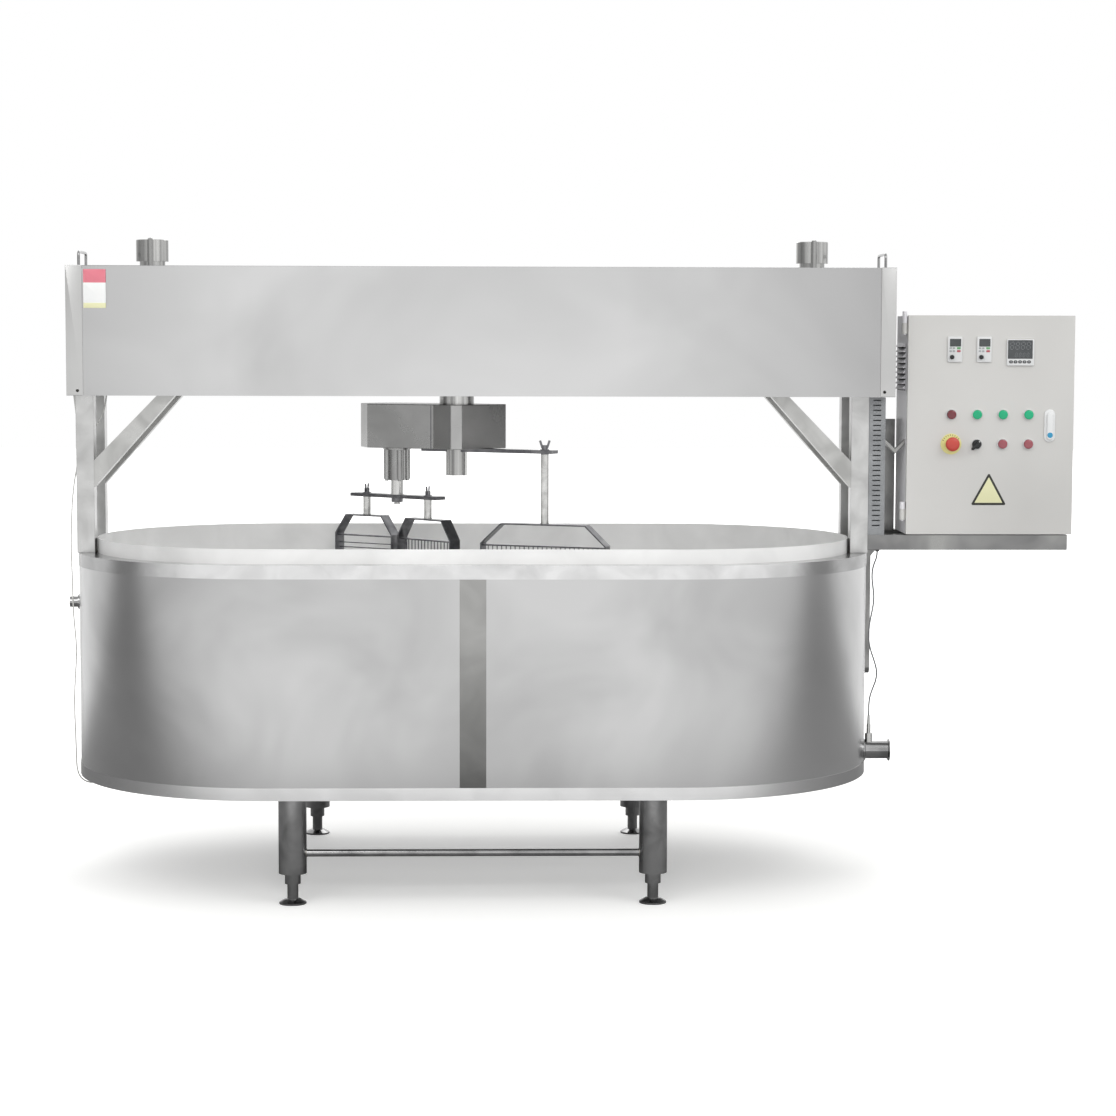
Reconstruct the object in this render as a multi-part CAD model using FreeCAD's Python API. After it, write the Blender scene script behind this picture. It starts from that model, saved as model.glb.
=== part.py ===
import FreeCAD, Part
import math
import os

# Jacketed oval milk vat with a travelling planetary stirrer on an overhead beam, in millimetres.
# X runs along the vat, Y from the operator's side to the back, Z up from the floor.
# Everything is laid out about the vat's centre and moved along X at the end.

os.makedirs("parts", exist_ok=True)
Vector = FreeCAD.Vector
Z_AXIS = Vector(0, 0, 1)

# vat
jacket_half_length = 1129.7
jacket_radius = 571.3
straight_half = jacket_half_length - jacket_radius
collar_inset = 54.3
rim_z = 963.2
shoulder_z = 923.3
upper_band_low = 886.9
lower_band_top = 324.4
pan_z = 289.9
tub_radius = jacket_radius - collar_inset
tub_wall = 3.0
sheet = 2.0
floor_slope = 0.01
floor_below_bore = 2.6
water_space = 26.0
skirt_wall = 1.2
seam_half_width = 35.6

# outlet and inlet
outlet_z = 338.3
pipe_r = 25.4
pipe_bore = 23.9
ferrule_r = 32.0
ferrule_face_x = 1207.0
outlet_start_x = 1071.5
neck_end_x = 1131.0
neck_bore = 24.6
inlet_face_x = -1161.3
inlet_z = 771.7
inlet_r = 15.6
inlet_bore = 12.1
inlet_depth = 26.0

# legs and feet
leg_x = 488.5
leg_y = 513.9
leg_r = 38.1
leg_low = 84.0
bush_r = 21.5
bush_low = 55.0
foot_stem_r = 15.0
foot_disc_r = 37.0
stretcher_r = 9.8
stretcher_z = 138.0

# portal frame
tube = 50.0
tube_wall = 2.0
post_outer_x = 1119.0
post_inner_x = post_outer_x - tube
post_y = 107.0
beam_z = 1367.8
beam_top = 1727.4
beam_half_depth = 219.7
beam_left = -1129.6
beam_right = 1179.3
brace_post_low = 1108.0
brace_post_high = 1184.0
brace_beam_far = 840.0
brace_beam_near = 890.0
tie_top = 1190.0

# travel drive
sprocket_left_x = -916.0
sprocket_right_x = 968.0
chain_z = 1560.0
travel_pitch_r = 90.0
wheel_r = 30.0
wheel_offset = 120.0
rail_top = beam_z + tube

# stirring head
hub_x = -50.0
turret_angle = -29.0
turret_low = 1215.0
turret_top = 1341.0
turret_wall = 2.5
head_apothem = 100.0
arm_apothem = 98.0
planet_reach = 200.0
harp_reach = 286.0
hub_r = 49.6
shaft_r = 20.0
shaft_gap = 0.05
sleeve_r = 31.2
sleeve_low = 1137.0
head_chain_z = 1275.0
fixed_sprocket_teeth = 30
planet_sprocket_teeth = 15
head_pitch = 15.0

# stirring tools
bar_z = 1205.0
bar_thick = 10.0
cross_z = 1066.0
cross_yaw = -41.0
cross_half = 170.0
cross_rod = 121.0
strap_thick = 4.0
strap_width = 38.0
harp_low = 352.0
wire_r = 1.5
wire_pitch = 13.6

# cabinet
cabinet_x0 = 1222.5
cabinet_x1 = 1690.0
cabinet_z0 = 980.0
cabinet_z1 = 1596.0
cabinet_front = -141.0
cabinet_back = 40.0
door_face = -160.0
hinge_x = 1214.0
hinge_y = -148.0
louvre_depth = 14.0
cabinet_right = cabinet_x1 + louvre_depth

centre_shift = -(inlet_face_x + cabinet_right) / 2


# shape helpers

def block(x0, x1, y0, y1, z0, z1):
    return Part.makeBox(x1 - x0, y1 - y0, z1 - z0, Vector(x0, y0, z0))


def upright(x, y, z0, z1, radius):
    return Part.makeCylinder(radius, z1 - z0, Vector(x, y, z0))


def along(axis, start, radius, length):
    return Part.makeCylinder(radius, length, Vector(*start), Vector(*axis))


def prism(points, direction):
    wire = Part.makePolygon([Vector(*p) for p in points] + [Vector(*points[0])])
    return Part.Face(wire).extrude(Vector(*direction))


def spin(profile, centre, axis=(0, 0, 1)):
    """Revolve (radius, height) points about a line through centre along axis."""
    face = Part.Face(Part.makePolygon([Vector(r, 0, h) for r, h in profile + profile[:1]]))
    solid = face.revolve(Vector(0, 0, 0), Z_AXIS, 360)
    solid.Placement = FreeCAD.Placement(Vector(*centre), FreeCAD.Rotation(Z_AXIS, Vector(*axis)))
    return solid


def stadium(radius, z0, z1):
    """Oval prism: two half circles of this radius joined by the straight sides."""
    c = straight_half
    edges = [
        Part.LineSegment(Vector(-c, -radius, z0), Vector(c, -radius, z0)).toShape(),
        Part.Arc(Vector(c, -radius, z0), Vector(c + radius, 0, z0), Vector(c, radius, z0)).toShape(),
        Part.LineSegment(Vector(c, radius, z0), Vector(-c, radius, z0)).toShape(),
        Part.Arc(Vector(-c, radius, z0), Vector(-c - radius, 0, z0), Vector(-c, -radius, z0)).toShape(),
    ]
    return Part.Face(Part.Wire(edges)).extrude(Vector(0, 0, z1 - z0))


def oval_ring(outer, inner, z0, z1):
    return stadium(outer, z0, z1).cut(stadium(inner, z0 - 1, z1 + 1))


def box_tube(x0, x1, y0, y1, z0, z1, axis):
    """Square hollow section that is open along one axis, 0, 1 or 2."""
    low = [x0, y0, z0]
    high = [x1, y1, z1]
    inner_low = [v + (-1 if i == axis else tube_wall) for i, v in enumerate(low)]
    inner_high = [v + (1 if i == axis else -tube_wall) for i, v in enumerate(high)]
    inner = block(inner_low[0], inner_high[0], inner_low[1], inner_high[1], inner_low[2], inner_high[2])
    return block(x0, x1, y0, y1, z0, z1).cut(inner)


def fuse(shapes):
    result = shapes[0].multiFuse(shapes[1:]) if len(shapes) > 1 else shapes[0]
    return result.removeSplitter()


def turned(shape, degrees, x, y):
    copy = shape.copy()
    copy.rotate(Vector(x, y, 0), Z_AXIS, degrees)
    return copy


def route_wire(points, radii):
    """Straight runs joined by tangent arcs of the given radii at the inner points."""
    edges = []
    at = points[0]
    for i in range(1, len(points) - 1):
        before = (points[i - 1] - points[i]).normalize()
        after = (points[i + 1] - points[i]).normalize()
        half_turn = (math.pi - before.getAngle(after)) / 2
        setback = radii[i - 1] * math.tan(half_turn)
        start = points[i] + before * setback
        end = points[i] + after * setback
        inward = (before + after).normalize()
        centre = points[i] + inward * (radii[i - 1] / math.cos(half_turn))
        middle = centre - inward * radii[i - 1]
        edges.append(Part.LineSegment(at, start).toShape())
        edges.append(Part.Arc(start, middle, end).toShape())
        at = end
    edges.append(Part.LineSegment(at, points[-1]).toShape())
    return Part.Wire(edges)


def bent_rod(points, bend, radius):
    path = route_wire([Vector(*p) for p in points], [bend] * (len(points) - 2))
    start = Vector(*points[0])
    circle = Part.Wire(Part.Circle(start, Vector(*points[1]) - start, radius).toShape())
    return path.makePipeShell([circle], True, False)


def cable(name, points, radius):
    """Round cable along its route, with the largest arc that each pair of runs allows."""
    stops = [Vector(*p) for p in points]
    radii = []
    for a, b, c in zip(stops, stops[1:], stops[2:]):
        half_turn = (math.pi - (a - b).getAngle(c - b)) / 2
        radii.append(0.45 * min(a.distanceToPoint(b), b.distanceToPoint(c)) / math.tan(half_turn))
    path = route_wire(stops, radii)
    circle = Part.Wire(Part.Circle(stops[0], stops[1] - stops[0], radius).toShape())
    solid = path.makePipeShell([circle], True, False)
    expected = math.pi * radius ** 2 * path.Length
    print(name, "radii", [round(r) for r in radii], "length", round(path.Length, 1),
          "volume", round(solid.Volume), "expected", round(expected))
    return solid


def save(name, shapes):
    shape = shapes if hasattr(shapes, "exportStep") else Part.makeCompound(shapes)
    moved = shape.copy()
    moved.translate(Vector(centre_shift, 0, 0))
    moved.exportStep("parts/" + name + ".step")


def both_sides(shape):
    """The shape and its mirror image at the back of the machine."""
    return [shape, shape.mirror(Vector(0, 0, 0), Vector(0, 1, 0))]


# vat shells

def above_floor(drop):
    """Everything above the tub's floor plane, which falls gently towards the outlet."""
    low = outlet_z - pipe_bore - floor_below_bore - drop
    rise = floor_slope * 2 * (outlet_start_x + 100)
    reach = outlet_start_x + 100
    outline = [(-reach, -600, low + rise), (reach, -600, low), (reach, -600, 1100), (-reach, -600, 1100)]
    return prism(outline, (0, 1200, 0))


outlet_hole = along((1, 0, 0), (1000, 0, outlet_z), pipe_r + 0.1, 300)
inlet_hole = along((1, 0, 0), (-1200, 0, inlet_z), inlet_r, 220)

outer = stadium(tub_radius, 300, rim_z).common(above_floor(tub_wall))
inner = stadium(tub_radius - tub_wall, 300, rim_z + 5).common(above_floor(0))
save("inner_tub", outer.cut(inner).cut(outlet_hole))

warm_r = tub_radius + water_space + sheet
warm_low = pan_z + 8
warm_top = shoulder_z - 40
warm = stadium(warm_r, warm_low, warm_top).cut(stadium(warm_r - sheet, warm_low + sheet, warm_top - sheet))
warm = warm.cut(stadium(tub_radius + 0.3, warm_top - 5, warm_top + 1))
save("heating_jacket", warm.cut(outlet_hole).cut(inlet_hole))

wall_r = jacket_radius - skirt_wall - 0.3
foam = oval_ring(wall_r - sheet - 0.4, warm_r + 0.4, pan_z + sheet + 2, shoulder_z - 20)
save("insulation", foam.cut(outlet_hole).cut(inlet_hole))

jacket = oval_ring(wall_r, wall_r - sheet, pan_z + sheet, shoulder_z - sheet)
save("outer_jacket", jacket.cut(outlet_hole).cut(inlet_hole))

shoulder = oval_ring(jacket_radius, tub_radius + 0.2, shoulder_z - sheet, shoulder_z)
skirt = oval_ring(jacket_radius, jacket_radius - skirt_wall, upper_band_low, shoulder_z - sheet / 2)
save("shoulder_ring", fuse([shoulder, skirt]))

sensor_x = -1010.0
sensor_y = -95.0
sensor_z = 274.0
pan = stadium(jacket_radius, pan_z, lower_band_top)
pan = pan.cut(stadium(jacket_radius - skirt_wall, pan_z + sheet, lower_band_top + 1))
boss = block(sensor_x, sensor_x + 30, sensor_y - 13, sensor_y + 13, sensor_z - 12, pan_z)
save("base_pan", fuse([pan.cut(outlet_hole), boss]))

strip = block(-seam_half_width, seam_half_width, -wall_r - sheet, -wall_r, lower_band_top + 0.5,
              upper_band_low - 0.5)
save("seam_strips", both_sides(strip))

# outlet and inlet

ferrule_back = ferrule_face_x - 2.85
pipe = spin(
    [(neck_bore, outlet_start_x), (pipe_r, outlet_start_x), (pipe_r, ferrule_back - 2.4),
     (ferrule_r, ferrule_back), (ferrule_r, ferrule_face_x), (pipe_bore, ferrule_face_x),
     (pipe_bore, neck_end_x), (neck_bore, neck_end_x)],
    (0, 0, outlet_z), (1, 0, 0))
collar_r = 34.0
collar_end_x = neck_end_x + 5.0
weld_ring = spin(
    [(pipe_r - 0.5, neck_end_x), (collar_r, neck_end_x), (collar_r, neck_end_x + 2.5),
     (collar_r - 4, collar_end_x), (pipe_r - 0.5, collar_end_x)],
    (0, 0, outlet_z), (1, 0, 0))
save("milk_outlet", fuse([pipe, weld_ring]))

probe_x = 1147.0
gland_r = 10.7
gland_low = outlet_z + 24
gland_tall = 25.0
stem_top = 414.0
sleeve_top = 440.0
hex_turns = [math.radians(60 * k) for k in range(6)]
probe_hex = [(probe_x + gland_r * math.cos(turn), gland_r * math.sin(turn),
              gland_low) for turn in hex_turns]
gland = prism(probe_hex, (0, 0, gland_tall)).cut(along((1, 0, 0), (1100, 0, outlet_z), pipe_r, 100))
stem = upright(probe_x, 0, gland_low + gland_tall - 1, stem_top, 6.0)
sleeve = spin([(0, stem_top), (4.6, stem_top), (3.6, sleeve_top), (0, sleeve_top)], (probe_x, 0, 0))
save("outlet_probe", [fuse([gland, stem]), sleeve])

socket_length = 59.8
socket = along((1, 0, 0), (inlet_face_x, 0, inlet_z), inlet_r - 0.2, socket_length)
socket = socket.cut(along((1, 0, 0), (inlet_face_x - 1, 0, inlet_z), inlet_bore, inlet_depth + 1))
socket = socket.cut(along((1, 0, 0), (inlet_face_x, 0, inlet_z), inlet_bore - 3, socket_length + 1))
pad = along((1, 0, 0), (-1137, 0, inlet_z), inlet_r + 6, 6)
pad = pad.cut(along((1, 0, 0), (-1138, 0, inlet_z), inlet_bore, 8))
save("inlet_socket", fuse([socket, pad]))

# legs and feet

leg_profile = [(foot_stem_r + shaft_gap, bush_low), (bush_r, bush_low), (bush_r, leg_low), (leg_r, leg_low),
               (leg_r, pan_z), (leg_r - 2.5, pan_z), (leg_r - 2.5,
                                                      leg_low + 4), (foot_stem_r + shaft_gap, leg_low + 4)]
leg_places = [(sx * leg_x, sy * leg_y) for sy in (-1, 1) for sx in (-1, 1)]
legs = [spin(leg_profile, (x, y, 0)) for x, y in leg_places]
stretchers = []
for sy in (-1, 1):
    bar = along((1, 0, 0), (-leg_x, sy * leg_y, stretcher_z), stretcher_r, 2 * leg_x)
    for sx in (-1, 1):
        bar = bar.cut(upright(sx * leg_x, sy * leg_y, 0, pan_z, leg_r))
    stretchers.append(bar)
save("leg_frame", legs + stretchers)

foot_profile = [(0, 0), (foot_disc_r, 0), (foot_disc_r, 5), (22, 13), (foot_stem_r, 14),
                (foot_stem_r, leg_low + 60), (0, leg_low + 60)]
foot_names = ["foot_front_left", "foot_front_right", "foot_rear_left", "foot_rear_right"]
for name, (x, y) in zip(foot_names, leg_places):
    save(name, spin(foot_profile, (x, y, 0)))

# portal frame

posts = []
braces = []
half = tube / 2
for side in (-1, 1):
    x0, x1 = sorted((side * post_inner_x, side * post_outer_x))
    for sy in (-1, 1):
        y0 = sy * post_y - half
        posts.append(box_tube(x0, x1, y0, y0 + tube, shoulder_z, beam_z, 2))
        outline = [(side * post_inner_x, y0, brace_post_low), (side * post_inner_x, y0, brace_post_high),
                   (side * brace_beam_near, y0, beam_z), (side * brace_beam_far, y0, beam_z)]
        skew = tube_wall * math.sqrt(2)
        hollow = [(side * (post_inner_x + 1), y0 + tube_wall, brace_post_low + skew - 1),
                  (side * (post_inner_x + 1), y0 + tube_wall, brace_post_high - skew - 1),
                  (side * (brace_beam_near - skew), y0 + tube_wall, beam_z + 1),
                  (side * (brace_beam_far + skew), y0 + tube_wall, beam_z + 1)]
        braces.append(prism(outline, (0, tube, 0)).cut(prism(hollow, (0, tube - 2 * tube_wall, 0))))
    braces.append(box_tube(x0, x1, -post_y + half, post_y - half, tie_top - tube, tie_top, 1))
for sy in (-1, 1):
    gusset = [(-post_outer_x, sy * post_y - 2, beam_z), (beam_left + 1, sy * post_y - 2, beam_z),
              (-post_outer_x, sy * post_y - 2, beam_z - 86)]
    braces.append(prism(gusset, (0, 4, 0)))
save("posts", posts)
save("braces_and_ties", braces)

rail_far = post_y + half
rail_near = post_y - half
rail_end = beam_right - sheet
rails = [box_tube(-post_outer_x, rail_end, sy * post_y - half, sy * post_y + half, beam_z, rail_top,
                  0) for sy in (-1, 1)]
for x in (-post_outer_x, post_inner_x, rail_end - tube):
    rails.append(box_tube(x, x + tube, -rail_near, rail_near, beam_z, rail_top, 1))
gland_plate_x = -post_inner_x
rails.append(block(gland_plate_x, gland_plate_x + 45, -rail_near, rail_near, beam_z, beam_z + sheet))
bridge_z = chain_z - 74
for x in (sprocket_left_x, sprocket_right_x):
    bridge = block(x - 60, x + 60, -rail_far, rail_far, bridge_z - 6, bridge_z)
    for sy in (-1, 1):
        bridge = bridge.fuse(block(x - 60, x + 60, sy * (rail_far - 3) - 3, sy * (rail_far - 3) + 3,
                                   rail_top, bridge_z))
    bridge = bridge.removeSplitter().cut(upright(x, 0, bridge_z - 10, bridge_z + 1, 14.0))
    rails.append(bridge)
save("beam_frame", rails)


def cover_sheets():
    """Top sheet, and front and back sheets with a return along their lower edges."""
    x0 = beam_left + sheet
    x1 = beam_right - sheet
    depth = beam_half_depth
    top = block(x0, x1, -depth + sheet, depth - sheet, beam_top - sheet, beam_top)
    for x in (sprocket_left_x, sprocket_right_x):
        top = top.cut(upright(x, 0, beam_top - 5, beam_top + 1, 30.0))
    front = block(x0, x1, -depth, -depth + sheet, beam_z, beam_top)
    front = front.fuse(block(x0, x1, -depth, -rail_far, beam_z, beam_z + sheet)).removeSplitter()
    return [top] + both_sides(front)


def end_cover(x_out, inward):
    """Pressed lid over one end of the beam, its flange lying over the folded cover."""
    flange = 42.0
    lip = 1.2
    depth = beam_half_depth
    x0, x1 = sorted((x_out, x_out + inward * flange))
    lid = block(x0, x1, -depth - lip, depth + lip, beam_z, beam_top + lip)
    core_x0, core_x1 = sorted((x_out + inward * sheet, x_out + inward * (flange + 1)))
    lid = lid.cut(block(core_x0, core_x1, -depth, depth, beam_z - 1, beam_top))
    return lid


def round_head_screw(x, y, z, facing):
    return along((0, facing, 0), (x, y, z), 5.0, 2.6)


screws = []
for x in (beam_left + 31, beam_right - 31):
    for sy in (-1, 1):
        screws.append(round_head_screw(x, sy * (beam_half_depth + 1.2), beam_z + 14, sy))
save("beam_cover", cover_sheets() + [end_cover(beam_left, 1), end_cover(beam_right, -1)] + screws)

handle_half = 68.0
handle_top = 1770.0
handle_base = beam_top + 1.2
handles = [bent_rod([(x, -handle_half, handle_base), (x, -handle_half, handle_top),
                     (x, handle_half, handle_top), (x, handle_half, handle_base)], 10.0, 4.0)
           for x in (beam_left + 14.5, beam_right - 9.0)]
save("lifting_handles", handles)

bearing_bore = 12.5 + shaft_gap
cap_profile = [(bearing_bore, beam_top), (36, beam_top), (36, beam_top + 17.5), (45.6, beam_top + 17.5),
               (45.6, beam_top + 77), (44, beam_top + 78.8), (0, beam_top + 78.8), (0, beam_top + 40),
               (bearing_bore, beam_top + 40)]
caps = []
for x in (sprocket_left_x, sprocket_right_x):
    rib = spin([(0, beam_top + 2), (9, beam_top + 2), (9, beam_top + 78), (6.4, beam_top + 82),
                (0, beam_top + 84)], (x, -42, 0))
    caps.append(fuse([spin(cap_profile, (x, 0, 0)), rib]))
save("sprocket_caps", caps)


# travel drive in the beam

def sprocket(x, y, z, teeth, pitch_r, hub_radius, bore, thick):
    """Toothed disc with a rounded-off trapezium for every tooth."""
    root = pitch_r - 4.0
    tip = pitch_r + 3.5
    points = []
    for k in range(teeth):
        for share, radius in ((-0.32, root), (-0.14, tip), (0.14, tip), (0.32, root)):
            angle = 2 * math.pi * (k + share) / teeth
            points.append((x + radius * math.cos(angle), y + radius * math.sin(angle), z - thick / 2))
    disc = prism(points, (0, 0, thick))
    disc = disc.fuse(upright(x, y, z - 12, z + 12, hub_radius)).removeSplitter()
    return disc.cut(upright(x, y, z - 20, z + 20, bore)) if bore else disc


def chain_sides(x0, y0, r0, x1, y1, r1, z):
    """Upper and lower link plates of a chain round two sprockets; the teeth run between them."""
    reach = math.hypot(x1 - x0, y1 - y0)
    heading = math.degrees(math.atan2(y1 - y0, x1 - x0))

    def loop(grow, low, high):
        a, b = r0 + grow, r1 + grow
        lean = math.asin((r0 - r1) / reach)
        s, c = math.sin(lean), math.cos(lean)
        p = [Vector(a * s, a * c, low), Vector(reach + b * s, b * c, low),
             Vector(reach + b * s, -b * c, low), Vector(a * s, -a * c, low)]
        edges = [Part.LineSegment(p[0], p[1]).toShape(),
                 Part.Arc(p[1], Vector(reach + b, 0, low), p[2]).toShape(),
                 Part.LineSegment(p[2], p[3]).toShape(),
                 Part.Arc(p[3], Vector(-a, 0, low), p[0]).toShape()]
        return Part.Face(Part.Wire(edges)).extrude(Vector(0, 0, high - low))

    plates = []
    for low in (-5.6, 4.0):
        ring = loop(5.0, low, low + 1.6).cut(loop(-5.0, low - 1, low + 3))
        ring.Placement = FreeCAD.Placement(Vector(x0, y0, z), FreeCAD.Rotation(Z_AXIS, heading))
        plates.append(ring)
    return plates


for name, x in (("idler_sprocket", sprocket_left_x), ("drive_sprocket", sprocket_right_x)):
    wheel = sprocket(x, 0, chain_z, 28, travel_pitch_r, 24.0, 0, 6.0)
    save(name, fuse([wheel, upright(x, 0, bridge_z - 5.7, beam_top + 39, 12.5)]))

save("travel_chain", chain_sides(sprocket_left_x, 0, travel_pitch_r, sprocket_right_x, 0,
                                 travel_pitch_r, chain_z))

gear_x = sprocket_right_x
gearbox = block(gear_x - 52, gear_x + 52, -58, 58, rail_top + 4, bridge_z - 6)
motor = along((1, 0, 0), (gear_x + 52, 0, rail_top + 32), 29.0, 120)
save("travel_motor", fuse([gearbox, motor]))

# carriage

axle_z = rail_top + wheel_r + 0.3
plate_low = axle_z + 14
plate_top = plate_low + 12
plate = block(hub_x - 165, hub_x + 165, -74, 74, plate_low, plate_top)
for side in (-1, 1):
    for sy in (-1, 1):
        y0 = sy * 64 - 10
        plate = plate.fuse(block(hub_x + side * wheel_offset - 18, hub_x + side * wheel_offset + 18,
                                 y0, y0 + 20, axle_z - 16, plate_low))
plate = plate.removeSplitter()
for side in (-1, 1):
    plate = plate.cut(along((0, 1, 0), (hub_x + side * wheel_offset, -120, axle_z), 8.0 + shaft_gap, 240))
plate = plate.cut(upright(hub_x, 0, plate_low - 1, plate_top + 1, shaft_r + 0.3))
lug_top = chain_z - 6
lug = block(hub_x - 150, hub_x - 120, -74, -66, plate_top, lug_top)
clamp = block(hub_x - 150, hub_x - 120, -98, -66, lug_top - 6, lug_top)
save("carriage_plate", fuse([plate, lug, clamp]))

for name, side in (("wheelset_left", -1), ("wheelset_right", 1)):
    x = hub_x + side * wheel_offset
    axle = along((0, 1, 0), (x, -post_y - 16, axle_z), 8.0, 2 * post_y + 32)
    rollers = [along((0, 1, 0), (x, sy * post_y - 13, axle_z), wheel_r, 26) for sy in (-1, 1)]
    save(name, fuse([axle] + rollers))

gear_case = block(hub_x - 68, hub_x + 68, -62, 62, plate_top, plate_top + 92)
drive = upright(hub_x, 0, plate_top + 92, beam_top - 22, 62.0)
save("agitator_motor", fuse([gear_case, drive]))

sleeve_bottom = head_chain_z + 16
hub = upright(hub_x, 0, sleeve_bottom, plate_low, hub_r)
save("hub_sleeve", hub.cut(upright(hub_x, 0, sleeve_bottom - 1, plate_low + 1, shaft_r + shaft_gap)))

fixed_pitch_r = fixed_sprocket_teeth * head_pitch / (2 * math.pi)
planet_pitch_r = planet_sprocket_teeth * head_pitch / (2 * math.pi)
fixed = sprocket(hub_x, 0, head_chain_z, fixed_sprocket_teeth, fixed_pitch_r, 34.0, shaft_r + 0.3, 6.0)
fixed = fixed.fuse(upright(hub_x, 0, head_chain_z + 12, sleeve_bottom, 34.0).cut(
    upright(hub_x, 0, head_chain_z, sleeve_bottom + 1, shaft_r + 0.3))).removeSplitter()
save("fixed_sprocket", fixed)


# turret

def heading_point(reach, sideways=0.0, angle=turret_angle):
    t = math.radians(angle)
    return (hub_x + reach * math.cos(t) - sideways * math.sin(t),
            reach * math.sin(t) + sideways * math.cos(t))


planet_x, planet_y = heading_point(-planet_reach)


def turret_prism(inset, z0, z1):
    """Square head with one chamfered corner, joined to a bar with a half-octagon end."""
    a = head_apothem - inset
    diagonal = a * math.sqrt(2)
    chamfer = 15.0 - inset * 0.4
    square = [(hub_x - chamfer, -diagonal + chamfer, z0), (hub_x + chamfer, -diagonal + chamfer, z0),
              (hub_x + diagonal, 0, z0), (hub_x, diagonal, z0), (hub_x - diagonal, 0, z0)]
    b = arm_apothem - inset
    facet = b * math.tan(math.pi / 8)
    outline = [(0, b), (0, -b), (-planet_reach - facet, -b), (-planet_reach - b, -facet),
               (-planet_reach - b, facet), (-planet_reach - facet, b)]
    bar = [heading_point(u, v) + (z0,) for u, v in outline]
    height = (0, 0, z1 - z0)
    return prism(square, height).fuse(prism(bar, height)).removeSplitter()


housing = turret_prism(0, turret_low, turret_top).cut(turret_prism(turret_wall, turret_low - 1,
                                                                   turret_top - turret_wall))
housing = housing.cut(upright(hub_x, 0, turret_top - 5, turret_top + 1, hub_r + 1.0))
collar = upright(hub_x, 0, turret_top - 18, turret_top, hub_r + 6).cut(
    upright(hub_x, 0, turret_top - 20, turret_top + 1, hub_r + 1.0))
save("turret_housing", fuse([housing, collar]))

bearing_r = 40.0
floor = turret_prism(turret_wall, turret_low, turret_low + 6)
floor = floor.cut(upright(hub_x, 0, turret_low - 1, turret_low + 8, shaft_r))
floor = floor.cut(upright(planet_x, planet_y, turret_low - 1, turret_low + 8, 30.0))
turret_floor = floor

shaft = upright(hub_x, 0, sleeve_low + 20, plate_top, shaft_r)
socket_sleeve = upright(hub_x, 0, sleeve_low, turret_low,
                        sleeve_r).cut(upright(hub_x, 0, sleeve_low - 1, sleeve_low + 20, 14.0))
save("turret_shaft", fuse([shaft, socket_sleeve]))

planet_shaft_r = 18.5
body_low = 1118.0
bearing = upright(planet_x, planet_y, body_low, turret_low, 25.5)
bearing = bearing.fuse(upright(planet_x, planet_y, turret_low, turret_low + 22, 29.8))
bearing = bearing.fuse(upright(planet_x, planet_y, turret_low - 8, turret_low, bearing_r))
for k in range(4):
    t = math.radians(turret_angle + 45 + 90 * k)
    x, y = planet_x + 31 * math.cos(t), planet_y + 31 * math.sin(t)
    bearing = bearing.fuse(upright(x, y, body_low + 3, turret_low - 7, 8.5))
    bearing = bearing.fuse(upright(x, y, body_low - 2, body_low + 3, 5.0))
bearing = bearing.cut(upright(planet_x, planet_y, body_low - 10, turret_low + 30,
                              planet_shaft_r + shaft_gap))
save("turret_floor", [turret_floor, bearing.removeSplitter()])

save("head_chain", chain_sides(hub_x, 0, fixed_pitch_r, planet_x, planet_y, planet_pitch_r, head_chain_z))


def wing_nut(x, y, z, yaw):
    """Hex-sized boss on a washer with two upswept ears."""
    nut = upright(x, y, z, z + 2, 13.0).fuse(upright(x, y, z, z + 14, 8.0))
    for side in (-1, 1):
        ear = [(x + side * 5, y - 2, z + 8), (x + side * 9, y - 2, z + 4),
               (x + side * 17, y - 2, z + 26), (x + side * 12, y - 2, z + 28)]
        nut = nut.fuse(prism(ear, (0, 4, 0)))
    return turned(nut.removeSplitter(), yaw, x, y)


rod_r = 11.5
rod_x, rod_y = heading_point(harp_reach)
bar_top = bar_z + bar_thick
bar = block(hub_x - 107, hub_x + 318, -20, 20, bar_z,
            bar_top).cut(upright(hub_x, 0, bar_z - 1, bar_top + 1, sleeve_r))
bar = bar.cut(upright(hub_x + harp_reach, 0, bar_z - 1, bar_top + 1, 8.0))
stir_bar = turned(bar, turret_angle, hub_x, 0)
save("stir_arm", [stir_bar, wing_nut(rod_x, rod_y, bar_top, 20)])


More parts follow.
